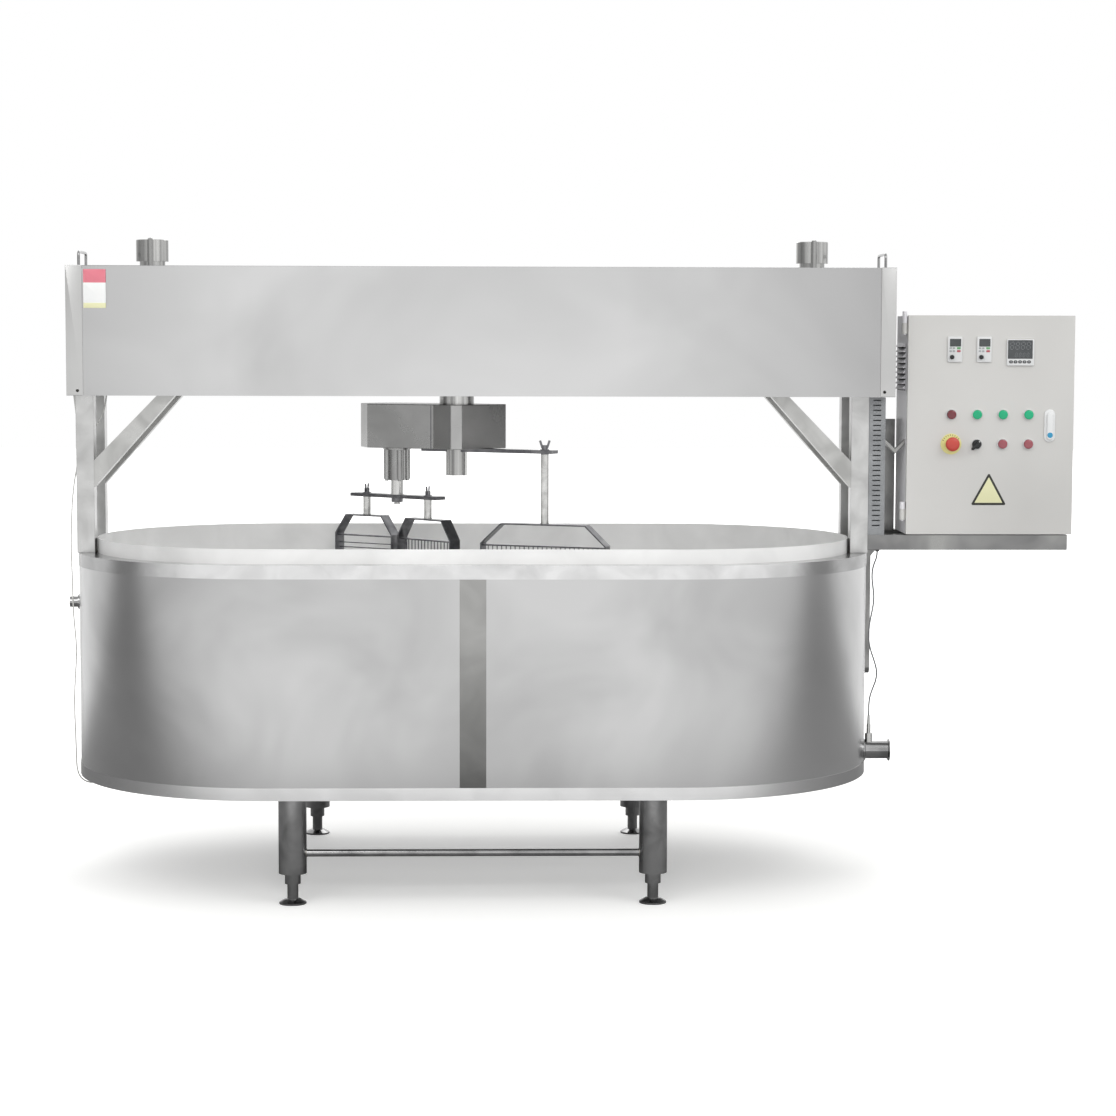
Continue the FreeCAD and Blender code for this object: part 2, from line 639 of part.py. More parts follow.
def harp(x, y, yaw, hang_z, top_z, top_half, corner_z, half_width, wires_up):
    """Strap frame hung on a rod, with steel wires strung across it upright or level."""
    t = strap_thick
    w = strap_width / 2
    corners = [(-top_half, top_z), (top_half, top_z), (half_width, corner_z), (half_width, harp_low),
               (-half_width, harp_low), (-half_width, corner_z)]
    slope = (half_width - top_half) / (top_z - corner_z)
    inner_top = top_half + slope * t - t * math.hypot(1, slope)
    inner = [(-inner_top, top_z - t), (inner_top, top_z - t), (half_width - t, corner_z - t * 0.4),
             (half_width - t, harp_low + t), (-half_width + t, harp_low + t), (-half_width + t,
                                                                               corner_z - t * 0.4)]
    frame = prism([(x + u, y - w, z) for u, z in corners], (0, 2 * w, 0))
    frame = frame.cut(prism([(x + u, y - w - 1, z) for u, z in inner], (0, 2 * w + 2, 0)))
    frame = frame.fuse(block(x - half_width + 1, x + half_width - 1, y - 8, y + 8, corner_z - 8,
                             corner_z - 4))
    frame = frame.removeSplitter()
    wires = []
    if wires_up:
        count = int((2 * half_width - 2 * t) / wire_pitch)
        for k in range(1, count):
            u = -half_width + t + (2 * half_width - 2 * t) * k / count
            wires.append(upright(x + u, y, harp_low + t - 1, corner_z - 6, wire_r))
    else:
        count = int((corner_z - 8 - harp_low - t) / wire_pitch)
        for k in range(1, count):
            z = harp_low + t + wire_pitch * k
            wires.append(along((1, 0, 0), (x - half_width + t - 1, y, z), wire_r, 2 * (half_width - t + 1)))
    hanger = upright(x, y, top_z - t / 2, hang_z, rod_r)
    stud = upright(x, y, hang_z, hang_z + bar_thick, 7.8)
    return turned(frame.multiFuse(wires + [hanger, stud]), yaw, x, y)


save("large_harp", harp(rod_x, rod_y, -22.0, bar_z, 1006.0, 128.0, 948.0, 190.0, True))


# planet spindle and its tools

spindle = upright(planet_x, planet_y, cross_z + bar_thick, head_chain_z + 30, planet_shaft_r)
spindle = spindle.fuse(upright(planet_x, planet_y, cross_z - 18, cross_z + bar_thick + 1, 8.0))
spindle = spindle.fuse(upright(planet_x, planet_y, cross_z - 18, cross_z - 14, 9.5))
save("planet_shaft", spindle.removeSplitter())
save("planet_sprocket", sprocket(planet_x, planet_y, head_chain_z, planet_sprocket_teeth, planet_pitch_r,
                                 27.0, planet_shaft_r, 6.0))

cross = block(planet_x - cross_half, planet_x + cross_half, planet_y - 20, planet_y + 20, cross_z,
              cross_z + bar_thick)
cross = cross.cut(upright(planet_x, planet_y, cross_z - 1, cross_z + 20, 8.0))
nut_ring = upright(planet_x, planet_y, cross_z - 12, cross_z, 17.0).cut(
    upright(planet_x, planet_y, cross_z - 13, cross_z + 1, 8.0))
rods = []
for side in (-1, 1):
    cross = cross.cut(upright(planet_x + side * cross_rod, planet_y, cross_z - 1, cross_z + 20, 8.0))
    t = math.radians(cross_yaw)
    rods.append((planet_x + side * cross_rod * math.cos(t), planet_y + side * cross_rod * math.sin(t)))
cross = turned(cross, cross_yaw, planet_x, planet_y)
save("cross_arm", [cross, nut_ring] + [wing_nut(x, y, cross_z + bar_thick, 75) for x, y in rods])

save("left_harp", harp(rods[0][0], rods[0][1], -35.0, cross_z, 1012.0, 66.0, 956.0, 105.0, False))
save("right_harp", harp(rods[1][0], rods[1][1], -48.0, cross_z, 1010.0, 80.0, 954.0, 118.0, True))

# shelf, duct and stays

shelf_low = 932.4
shelf_top = 975.4
shelf_end = 1689.0
bar_y = post_y + half
shelf = [box_tube(post_outer_x, shelf_end, sy * (bar_y - 20) - 20, sy * (bar_y - 20) + 20, shelf_low,
                  shelf_top, 0)
         for sy in (-1, 1)]
shelf.append(box_tube(shelf_end - 40, shelf_end, -bar_y + 40, bar_y - 40, shelf_low, shelf_top, 1))
shelf.append(block(post_outer_x, shelf_end - 40, -bar_y + 40, bar_y - 40, shelf_low, shelf_low + sheet))
hanger = block(1130.6, 1149, 12, 52, 580, shelf_low).fuse(along((1, 0, 0), (1130.6, 32, 580), 20, 18.4))
brace_plate = prism([(1148, 30, shelf_low), (1176, 30, shelf_low), (1148, 30, shelf_low - 34)], (0, 4, 0))
shelf.append(fuse([hanger, brace_plate]))
saddle = [(1166, -125, 1246), (1166, -125, 1234), (1195, -125, 1206), (1222.5, -125, 1234),
          (1222.5, -125, 1246), (1195, -125, 1219)]
shelf.append(prism(saddle, (0, 26, 0)))
shelf.append(block(1168, 1220, 44, 47, shelf_top, 1300))
gland_x = 1161.0
gland_y = -34.0
shelf.append(spin([(0, shelf_low), (7.5, shelf_low), (7.5, shelf_low - 6), (5, shelf_low - 12),
                   (0, shelf_low - 12)],
                  (gland_x, gland_y, 0)))
save("shelf_frame", shelf)

duct_x0 = post_outer_x + 0.6
duct_x1 = 1166.0
duct = block(duct_x0, duct_x1, -bar_y + 2, -bar_y + 40, shelf_top, beam_z - 3)
duct = duct.cut(block(duct_x0 + 1.5, duct_x1 - 1.5, -bar_y + 3.5, -bar_y + 38.5, shelf_top + 3, beam_z - 1))
slots = [block(duct_x0 + 11, duct_x1 - 13, -bar_y, -bar_y + 4, z - 1.8, z + 1.8)
         for z in [1002 + 14.2 * k for k in range(26)]]
save("cable_duct", duct.cut(Part.makeCompound(slots)))

# cabinet

wall = 1.6
body = block(cabinet_x0, cabinet_x1, cabinet_front, cabinet_back, cabinet_z0, cabinet_z1)
body = body.cut(block(cabinet_x0 + wall, cabinet_x1 - wall, cabinet_front - 1, cabinet_back - wall,
                      cabinet_z0 + wall, cabinet_z1 - wall))
body = body.fuse(block(cabinet_x0 + 30, cabinet_x1 - 30, -120, 20, shelf_top, cabinet_z0))
for face, outward in ((cabinet_x0, -1), (cabinet_x1, 1)):
    reach = 10.0 if outward < 0 else louvre_depth
    for k in range(9):
        z = 1388 + 15.0 * k
        hood = [(face, -118, z + 12), (face, -118, z), (face + outward * reach, -118, z)]
        body = body.fuse(prism(hood, (0, 130, 0)))
hinge_levels = (1020.0, 1545.0)
for z in hinge_levels:
    body = body.fuse(upright(hinge_x, hinge_y, z + 30.5, z + 50, 8.0))
    body = body.fuse(block(hinge_x, cabinet_x0 + 1, hinge_y, cabinet_front + 34, z + 30.5, z + 50).cut(
        block(hinge_x + 3, hinge_x + 30, hinge_y - 1, cabinet_front, z, z + 60)))
    body = body.fuse(upright(hinge_x, hinge_y, z - 4, z + 50, 4.0))
body = body.fuse(upright(hinge_x, hinge_y, 1594, 1608, 6.5))
save("cabinet_body", body.removeSplitter())

plate_y = cabinet_back - wall - 14
inside = [block(cabinet_x0 + 22, cabinet_x1 - 22, plate_y - 3, plate_y, cabinet_z0 + 30, cabinet_z1 - 30)]
for x in (1262, 1384):
    inside.append(block(x, x + 96, plate_y - 78, plate_y - 3, 1380, 1520))
for x in (1516, 1580):
    inside.append(block(x, x + 54, plate_y - 68, plate_y - 3, 1420, 1510))
inside.append(block(1262, 1650, plate_y - 11, plate_y - 3, 1262, 1297))
for k in range(7):
    inside.append(block(1270 + 52 * k, 1315 + 52 * k, plate_y - 65, plate_y - 11, 1240, 1320))
inside.append(block(1262, 1650, plate_y - 45, plate_y - 3, 1080, 1120))
save("cabinet_internals", inside)

# places of the fittings on the door, by X and Z
lamp_x = (1347.6, 1420.6, 1493.6, 1566.6)
upper_row_z = 1318.0
lower_row_z = 1235.0
keypad_x = (1354.5, 1437.5)
keypad_z = 1501.8
controller_x = 1540.0
controller_z = 1493.3
lock_x = 1626.5
lock_z = 1287.0
button_r = 11.0
bezel_r = 14.5
stem_hole = 6.0
estop_x = lamp_x[0]

door = block(cabinet_x0 + 0.5, cabinet_right - 9, door_face, cabinet_front - 0.5, cabinet_z0 - 1,
             cabinet_z1 + 1)
door = door.cut(block(cabinet_x0 + 2.5, cabinet_right - 11, door_face + 1.6, cabinet_front + 1,
                      cabinet_z0 + 1, cabinet_z1 - 1))
for x in lamp_x[1:]:
    door = door.cut(along((0, 1, 0), (x, door_face - 1, upper_row_z), stem_hole, 4))
for x, z in ((lamp_x[2], lower_row_z), (lamp_x[3], lower_row_z), (lamp_x[1], lower_row_z),
             (estop_x, lower_row_z)):
    door = door.cut(along((0, 1, 0), (x, door_face - 1, z), stem_hole, 4))
for x in keypad_x:
    door = door.cut(block(x - 18.5, x + 18.5, door_face - 1, door_face + 3, keypad_z - 32.5,
                          keypad_z + 32.5))
door = door.cut(block(controller_x - 34.5, controller_x + 34.5, door_face - 1, door_face + 3,
                      controller_z - 34.5, controller_z + 34.5))
for z in hinge_levels:
    knuckle = upright(hinge_x, hinge_y, z, z + 30, 8.0).fuse(
        block(hinge_x, cabinet_x0 + 2, hinge_y - 2, hinge_y + 2, z, z + 30))
    door = door.fuse(knuckle).cut(upright(hinge_x, hinge_y, z - 1, z + 31, 4.0 + shaft_gap))
save("cabinet_door", door.removeSplitter())


def facing_disc(x, z, y0, y1, radius):
    """Disc parallel to the door, from y0 outwards to y1 inwards."""
    return along((0, 1, 0), (x, y0, z), radius, y1 - y0)


fittings = []
lamp = facing_disc(lamp_x[0], upper_row_z, door_face - 9, door_face, 11.0).fuse(
    facing_disc(lamp_x[0], upper_row_z, door_face - 5, door_face, bezel_r))
fittings.append(lamp.removeSplitter())
button_places = [("green_button_1", lamp_x[1], upper_row_z), ("green_button_2", lamp_x[2], upper_row_z),
                 ("green_button_3", lamp_x[3], upper_row_z), ("red_button_1", lamp_x[2], lower_row_z),
                 ("red_button_2", lamp_x[3], lower_row_z)]
for name, x, z in button_places:
    ring = facing_disc(x, z, door_face - 6, door_face, bezel_r).cut(
        facing_disc(x, z, door_face - 7, door_face + 1, button_r + 0.3))
    fittings.append(ring)
    cap = facing_disc(x, z, door_face - 9, door_face - 3.2, button_r).fuse(
        facing_disc(x, z, door_face - 4, door_face + 24, 5.0))
    save(name, cap.removeSplitter())
estop_ring = facing_disc(estop_x, lower_row_z, door_face - 2, door_face, 30.0).fuse(
    facing_disc(estop_x, lower_row_z, door_face - 9, door_face, 16.0))
fittings.append(estop_ring.cut(facing_disc(estop_x, lower_row_z, door_face - 10, door_face + 1,
                                           11.0)).removeSplitter())
selector_ring = facing_disc(lamp_x[1], lower_row_z, door_face - 6, door_face, bezel_r).cut(
    facing_disc(lamp_x[1], lower_row_z, door_face - 7, door_face + 1, button_r + 0.3))
fittings.append(selector_ring)

knob_dx = -9.0
knob_dz = -22.0
for k, x in enumerate(keypad_x):
    pad_body = block(x - 20.5, x + 20.5, door_face - 6, door_face, keypad_z - 35.8, keypad_z + 35.8).fuse(
        block(x - 18, x + 18, door_face - 1, door_face + 44, keypad_z - 32, keypad_z + 32))
    pad_body = pad_body.cut(facing_disc(x + knob_dx, keypad_z + knob_dz, door_face - 7, door_face - 2, 2.6))
    fittings.append(pad_body.removeSplitter())
    knob = facing_disc(x + knob_dx, keypad_z + knob_dz, door_face - 14, door_face - 6.4, 6.0).fuse(
        facing_disc(x + knob_dx, keypad_z + knob_dz, door_face - 7, door_face - 2.4, 2.5))
    knob = knob.fuse(block(x + knob_dx - 0.8, x + knob_dx + 0.8, door_face - 15, door_face - 13.5,
                           keypad_z + knob_dz, keypad_z + knob_dz + 5))
    save("speed_knob_%d" % (k + 1), knob.removeSplitter())
meter = block(controller_x - 38.5, controller_x + 38.5, door_face - 7, door_face, controller_z - 37,
              controller_z + 37).fuse(
    block(controller_x - 34, controller_x + 34, door_face - 1, door_face + 62, controller_z - 34,
          controller_z + 34))
fittings.append(meter.removeSplitter())
lock_frame = block(lock_x - 15.5, lock_x + 15.5, door_face - 5, door_face, lock_z - 46, lock_z + 46)
lock_frame = lock_frame.cut(block(lock_x - 12.5, lock_x + 12.5, door_face - 6, door_face - 2,
                                  lock_z - 43, lock_z + 43))
fittings.append(lock_frame)
save("panel_fittings", fittings)

head = spin([(0, 9.6), (10.5, 9.6), (10.5, 16), (18, 17), (20.5, 21), (20.5, 27), (17, 33), (9, 36),
             (0, 36.8)],
            (estop_x, door_face, lower_row_z), (0, -1, 0))
stalk = facing_disc(estop_x, lower_row_z, door_face - 12, door_face + 26, 5.0)
save("emergency_stop", fuse([head, stalk]))

turn_x = lamp_x[1]
knob = facing_disc(turn_x, lower_row_z, door_face - 9, door_face - 3.2, button_r).fuse(
    facing_disc(turn_x, lower_row_z, door_face - 4, door_face + 24, 5.0))
lever = block(turn_x - 4, turn_x + 4, door_face - 21, door_face - 8, lower_row_z - 15, lower_row_z + 9)
lever.rotate(Vector(turn_x, 0, lower_row_z), Vector(0, 1, 0), 45)
save("selector_switch", fuse([knob, lever]))

pivot_z = lock_z + 38
grip = block(lock_x - 11.5, lock_x + 11.5, door_face - 10, door_face - 3, lock_z - 40, pivot_z - 4)
grip = grip.fuse(along((1, 0, 0), (lock_x - 11.5, door_face - 6.4, pivot_z - 4), 3.4, 23))
grip = grip.fuse(facing_disc(lock_x + 2, lock_z - 19.5, door_face - 12, door_face - 9, 8.0))
save("door_handle", grip.removeSplitter())

# cables, by hand-chosen route points

left_route = [
    (-1046, -30, beam_z), (-1050, -31, 1335), (-1060, -34, 1304), (-1078, -38, 1274), (-1103, -42, 1246),
    (-1121, -46, 1212), (-1129, -50, 1166), (-1137, -55, 1120), (-1142, -62, 1068), (-1144, -68, 1014),
    (-1145, -74, 958), (-1144, -80, 902), (-1141, -85, 848), (-1140, -88, 794), (-1138, -90, 738),
    (-1132, -92, 682), (-1130, -94, 626), (-1134, -96, 572), (-1137, -97, 516), (-1137, -98, 460),
    (-1135, -98, 404), (-1134, -98, 360), (-1133.5, -98, 330), (-1132, -98, 302), (-1124, -98, 278),
    (-1105, -98, 264), (-1080, -97, 262), (-1054, -96, 267), (-1032, -95, 272), (sensor_x, sensor_y,
                                                                                 sensor_z)]
save("left_cable", cable("left_cable", left_route, 2.0))

right_route = [
    (gland_x, gland_y, shelf_low - 12), (1160, -34.5, 904), (1154, -36, 890), (1148, -37, 872), (1146,
                                                                                                 -38, 848),
    (1149, -38, 820), (1153, -37, 792), (1151, -36, 762), (1145, -35, 732), (1140, -34, 700),
    (1139, -32, 668), (1145, -29, 636), (1157, -26, 604), (1166, -22, 574), (1165, -17, 546),
    (1156, -11, 520), (1149, -5, 496), (probe_x, -1, 474), (probe_x, 0, 456), (probe_x, 0, 440)]
save("right_cable", cable("right_cable", right_route, 2.3))
print("nodes", len(os.listdir("parts")), "shift", round(centre_shift, 3))
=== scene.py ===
import math

import bmesh
import bpy
import numpy as np
from mathutils import Matrix, Vector


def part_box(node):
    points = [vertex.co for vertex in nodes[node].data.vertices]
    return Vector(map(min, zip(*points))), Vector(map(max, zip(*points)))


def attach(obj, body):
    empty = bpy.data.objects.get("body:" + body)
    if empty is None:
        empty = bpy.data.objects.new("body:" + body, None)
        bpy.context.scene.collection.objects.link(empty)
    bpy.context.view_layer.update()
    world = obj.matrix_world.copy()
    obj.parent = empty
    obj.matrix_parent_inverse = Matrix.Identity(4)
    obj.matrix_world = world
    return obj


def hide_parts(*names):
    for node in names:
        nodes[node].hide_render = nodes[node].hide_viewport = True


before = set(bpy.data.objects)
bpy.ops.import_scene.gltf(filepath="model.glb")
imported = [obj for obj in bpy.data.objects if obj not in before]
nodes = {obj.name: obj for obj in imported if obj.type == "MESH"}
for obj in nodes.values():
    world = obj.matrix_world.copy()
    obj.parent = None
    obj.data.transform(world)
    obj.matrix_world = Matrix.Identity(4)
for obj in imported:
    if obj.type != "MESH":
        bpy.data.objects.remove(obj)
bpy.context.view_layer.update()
print("frame loaded:", len(nodes), "nodes")

# the camera and the studio

cameraSetup = {
    "lens": 85.0, "sensor": 36.0,
    "place": (-0.22765, -7.5776, 1.5175),
    "pitchDown": 0.08154, "yawRight": 0.02613, "roll": 0.00256,
}


def placeObject(name, data):
    thing = bpy.data.objects.new(name, data)
    bpy.context.scene.collection.objects.link(thing)
    return thing


def makeCamera(setup):
    # forward is +Y turned by the yaw and tipped down by the pitch; right and up are then rolled about it
    yaw, pitch, roll = setup["yawRight"], setup["pitchDown"], setup["roll"]
    level = Vector((math.sin(yaw), math.cos(yaw), 0))
    right = Vector((math.cos(yaw), -math.sin(yaw), 0))
    forward = level * math.cos(pitch) - Vector((0, 0, 1)) * math.sin(pitch)
    up = Vector((0, 0, 1)) * math.cos(pitch) + level * math.sin(pitch)
    across = right * math.cos(roll) + up * math.sin(roll)
    upward = up * math.cos(roll) - right * math.sin(roll)
    data = bpy.data.cameras.new("camera")
    data.lens = setup["lens"]
    data.sensor_width = setup["sensor"]
    camera = placeObject("camera", data)
    turn = Matrix((across, upward, -forward)).transposed().to_4x4()
    camera.matrix_world = Matrix.Translation(setup["place"]) @ turn
    bpy.context.scene.camera = camera


makeCamera(cameraSetup)
bpy.context.scene.view_settings.view_transform = "Standard"


def linear(hexColour):
    # sRGB hex to linear light, channel by channel, by the standard curve
    channels = [int(hexColour[i:i + 2], 16) / 255 for i in (1, 3, 5)]
    return [c / 12.92 if c <= 0.04045 else ((c + 0.055) / 1.055) ** 2.4 for c in channels] + [1.0]


def addNode(tree, kind, settings=None, sockets=None):
    # one node with its settings, and its sockets set to a value or linked from another node's socket
    node = tree.nodes.new(kind)
    for key, value in (settings or {}).items():
        if key == "ramp":
            ramp = node.color_ramp
            while len(ramp.elements) < len(value):
                ramp.elements.new(0.5)
            for element, (position, colour) in zip(ramp.elements, value):
                element.position = position
                element.color = linear(colour) if isinstance(colour, str) else [colour] * 3 + [1]
        else:
            setattr(node, key, value)
    for key, value in (sockets or {}).items():
        if isinstance(value, bpy.types.NodeSocket):
            tree.links.new(value, node.inputs[key])
        else:
            node.inputs[key].default_value = value
    return node


def calculated(tree, operation, *values):
    return addNode(tree, "ShaderNodeMath", {"operation": operation}, dict(enumerate(values))).outputs[0]


def ranged(tree, value, fromMin, fromMax, toMin=0.0, toMax=1.0, interpolation="LINEAR"):
    # the value moved from one range to the other, and held at its ends
    return addNode(tree, "ShaderNodeMapRange", {"interpolation_type": interpolation},
                   {"Value": value, "From Min": fromMin, "From Max": fromMax, "To Min": toMin,
                    "To Max": toMax}).outputs[0]


studio = {
    "floorHex": "#F4F4F2", "floorHalf": 30.0,
    # brightness of the room by how far the direction points away from the operator's side
    "around": [(0.0, 1.10), (0.0035, 1.04), (0.007, 0.82), (0.05, 0.66), (0.2, 0.40), (0.55, 0.36),
               (0.8, 0.48), (1.0, 0.95)],
    "overhead": 0.42, "rightSide": 0.46,
    "floorInReflections": "#8C8C8C", "floorGlow": 0.78,
    # soft lamps: name, place, size in metres, power in watts
    "softLamps": [("keyLight", (-2.2, -4.6, 4.4), 2.6, 60.0), ("fillLight", (3.0, -3.4, 3.6), 2.2, 36.0),
                  ("backLight", (0.0, 4.0, 4.2), 3.0, 42.0)],
    "lampsAim": (-0.2, 0, 0.8),
    # a narrow lamp through the gap under the beam, which brightens the far wall of the tub
    "tubLamp": {"place": (-0.27, -3.6, 1.72), "aim": (-0.27, 0.5, 0.86), "cone": 42, "blend": 0.5,
                "size": 0.4, "power": 130.0},
}


def hangLamp(name, data, place, aim):
    lamp = placeObject(name, data)
    lamp.location = place
    lamp.rotation_euler = (Vector(aim) - Vector(place)).to_track_quat("-Z", "Y").to_euler()
    return lamp


def makeStudio(look):
    world = bpy.data.worlds.new("studio")
    bpy.context.scene.world = world
    world.use_nodes = True
    tree = world.node_tree
    tree.nodes.clear()
    coords = addNode(tree, "ShaderNodeTexCoord")
    parts = addNode(tree, "ShaderNodeSeparateXYZ", {}, {0: coords.outputs["Generated"]})
    depth = ranged(tree, parts.outputs["Y"], -1.0, 1.0)
    room = addNode(tree, "ShaderNodeValToRGB", {"ramp": look["around"]}, {0: depth})
    height = calculated(tree, "MAXIMUM", parts.outputs["Z"], 0.0)
    lift = calculated(tree, "MULTIPLY_ADD", height, look["overhead"], room.outputs[0])
    rightward = calculated(tree, "MAXIMUM", parts.outputs["X"], 0.0)
    total = calculated(tree, "MULTIPLY_ADD", rightward, look["rightSide"], lift)
    lit = addNode(tree, "ShaderNodeBackground", {}, {"Color": total, "Strength": 1.0})
    plain = addNode(tree, "ShaderNodeBackground", {}, {"Color": (1, 1, 1, 1), "Strength": 1.0})
    seen = addNode(tree, "ShaderNodeLightPath")
    both = addNode(tree, "ShaderNodeMixShader", {},
                   {0: seen.outputs["Is Camera Ray"], 1: lit.outputs[0], 2: plain.outputs[0]})
    addNode(tree, "ShaderNodeOutputWorld", {}, {"Surface": both.outputs[0]})
    for name, place, size, power in look["softLamps"]:
        data = bpy.data.lights.new(name, "AREA")
        data.size = size
        data.energy = power
        hangLamp(name, data, place, look["lampsAim"])
    lamp = look["tubLamp"]
    data = bpy.data.lights.new("tubLight", "SPOT")
    data.energy = lamp["power"]
    data.spot_size = math.radians(lamp["cone"])
    data.spot_blend = lamp["blend"]
    data.shadow_soft_size = lamp["size"]
    hangLamp("tubLight", data, lamp["place"], lamp["aim"]).visible_glossy = False


makeStudio(studio)

# materials: each is the real one's name, with what its making gives the eye


def newMaterial(name):
    material = bpy.data.materials.new(name)
    material.use_nodes = True
    tree = material.node_tree
    tree.nodes.clear()
    shader = addNode(tree, "ShaderNodeBsdfPrincipled")
    addNode(tree, "ShaderNodeOutputMaterial", {}, {"Surface": shader.outputs[0]})
    coords = addNode(tree, "ShaderNodeTexCoord").outputs["Object"]
    return material, tree, shader, coords


def stainless(name, metal=1.0, **changes):
    # 304 stainless: fine grain lines along one direction, cloudy
    # handling marks, and the sheet's own slight waves
    look = {**sheetLook, **changes}
    material, tree, shader, coords = newMaterial(name)
    shader.inputs["Metallic"].default_value = metal
    stretched = addNode(tree, "ShaderNodeMapping", {}, {"Vector": coords, "Scale": look["grain"]})
    grain = addNode(tree, "ShaderNodeTexNoise", {},
                    {"Vector": stretched.outputs[0], "Scale": 1.0, "Detail": 2.0, "Roughness": 0.65})
    drawn = addNode(tree, "ShaderNodeMapping", {},
                    {"Vector": coords, "Scale": look.get("streaks", (1, 1, 1))})
    cloud = addNode(tree, "ShaderNodeTexNoise", {},
                    {"Vector": drawn.outputs[0], "Scale": look["cloudScale"], "Detail": 3.0,
                     "Roughness": 0.5, "Distortion": look.get("twist", 0.6)})
    wave = addNode(tree, "ShaderNodeTexNoise", {},
                   {"Vector": coords, "Scale": look["waveScale"], "Detail": 1.0})
    colour = addNode(tree, "ShaderNodeValToRGB", {"ramp": [(0.34, look["dark"]), (0.66, look["light"])]},
                     {0: cloud.outputs[0]})
    rough = ranged(tree, cloud.outputs[0], 0.3, 0.7, look["rough"] + look["spread"],
                   look["rough"] - look["spread"])
    lined = calculated(tree, "MULTIPLY_ADD", grain.outputs[0], look["spread"], rough)
    waves = addNode(tree, "ShaderNodeBump", {},
                    {"Height": wave.outputs[0], "Distance": look["waveDepth"], "Strength": 1.0})
    lines = addNode(tree, "ShaderNodeBump", {},
                    {"Height": grain.outputs[0], "Distance": look["grainDepth"], "Strength": 1.0,
                     "Normal": waves.outputs[0]})
    tint = colour.outputs[0]
    if "fade" in look:
        # painted shade and reflection: the sheet darkens by its distance
        # from a centre along one axis, from full colour to the least share
        axis, centre, full, far, least = look["fade"]
        parts = addNode(tree, "ShaderNodeSeparateXYZ", {}, {0: coords})
        distance = calculated(tree, "ABSOLUTE", calculated(tree, "SUBTRACT", parts.outputs[axis], centre))
        share = ranged(tree, distance, far, full, least, 1.0)
        grey = addNode(tree, "ShaderNodeCombineColor", {}, {0: share, 1: share, 2: share})
        tint = addNode(tree, "ShaderNodeMix", {"data_type": "RGBA", "blend_type": "MULTIPLY"},
                       {0: 1.0, 6: tint, 7: grey.outputs[0]}).outputs[2]
    tree.links.new(tint, shader.inputs["Base Color"])
    tree.links.new(lined, shader.inputs["Roughness"])
    tree.links.new(lines.outputs[0], shader.inputs["Normal"])
    return material


def coated(name, dark, light, rough, pitch, depth, cloudScale=6.0, ior=1.5, coat=0.0, metallic=0.0,
           glow=0.0):
    # paint, moulded plastic or rubber: a fine skin of this pitch and
    # depth in mm, a little unevenness, and a gloss
    material, tree, shader, coords = newMaterial(name)
    skin = addNode(tree, "ShaderNodeTexNoise", {},
                   {"Vector": coords, "Scale": 1000 / pitch, "Detail": 2.0, "Roughness": 0.5})
    cloud = addNode(tree, "ShaderNodeTexNoise", {}, {"Vector": coords, "Scale": cloudScale, "Detail": 3.0})
    colour = addNode(tree, "ShaderNodeValToRGB", {"ramp": [(0.3, dark), (0.7, light)]},
                     {0: cloud.outputs[0]})
    glossy = ranged(tree, skin.outputs[0], 0.3, 0.7, rough - 0.04, rough + 0.05)
    bump = addNode(tree, "ShaderNodeBump", {},
                   {"Height": skin.outputs[0], "Distance": depth / 1000, "Strength": 1.0})
    tree.links.new(colour.outputs[0], shader.inputs["Base Color"])
    tree.links.new(glossy, shader.inputs["Roughness"])
    tree.links.new(bump.outputs[0], shader.inputs["Normal"])
    shader.inputs["IOR"].default_value = ior
    shader.inputs["Coat Weight"].default_value = coat
    shader.inputs["Coat Roughness"].default_value = 0.06
    shader.inputs["Metallic"].default_value = metallic
    if glow:
        shader.inputs["Emission Color"].default_value = linear(light)
        shader.inputs["Emission Strength"].default_value = glow
    return material


# grain is lines per metre along X, Y and Z, drawn about ten
# times as coarse as real 180 grit so that it shows
aroundZ, alongZ, alongX = (6, 6, 420), (420, 420, 6), (6, 420, 420)
sheetLook = {"grain": aroundZ, "grainDepth": 0.00001, "cloudScale": 2.2, "waveScale": 1.8,
             "waveDepth": 0.0022, "dark": "#B6B6B6", "light": "#CBCBCB", "rough": 0.22, "spread": 0.02}
# rolled sheet with a 180 grit finish: soft, vertically smeared reflections
jacketSteel = stainless("stainlessJacketBrushed")
# the same sheet along the beam, a flatter and paler fold; its fade to darker ends is a painted reflection
beamSteel = stainless("stainlessBeamBrushed", grain=alongX, cloudScale=1.6, waveScale=1.3, waveDepth=0.003,
                      dark="#C2C2C2", light="#D4D4D4", rough=0.2, fade=("X", -0.4, 0.55, 1.35, 0.70))
# polished bands: brighter and with sharper reflections than the jacket; the fade to darker ends is painted
# shade
bandSteel = stainless("stainlessBandPolished", dark="#D0D0D0", light="#E4E4E4", rough=0.2, waveScale=4.0,
                      waveDepth=0.003, cloudScale=9.0, fade=("X", -0.2714, 0.75, 1.08, 0.50))
# the bottom band is polished; its near-white colour is a painted reflection of the floor it faces,
# and its fade to darker ends is painted shade
panSteel = stainless("stainlessPanPaintedReflection", dark="#F0F0F0", light="#FAFAFA", rough=0.2, waveScale=4.0,
                     waveDepth=0.003, cloudScale=9.0, fade=("X", -0.2714, 0.75, 1.08, 0.50))
# the joint strips are polished upright; their dark colour, darker still towards the bottom, is a painted
# reflection of a darker part of the room
stripSteel = stainless("stainlessStripUpright", grain=alongZ, dark="#A2A2A0", light="#B4B4B2",
                       fade=("Z", 0.0, 0.88, 0.33, 0.36), rough=0.24, cloudScale=7.0)
# the tub is rolled sheet with water marks and dull patches; its near-white colour is painted light
# for the dim far wall, and it is darker towards its front side
tubSteel = stainless("stainlessTubPaintedLight", metal=0.1, dark="#E8E8E7", light="#F6F6F5",
                     fade=("Y", 0.6, 0.90, 1.06, 0.80), rough=0.34, spread=0.03, cloudScale=6.0,
                     waveScale=5.0, waveDepth=0.004)
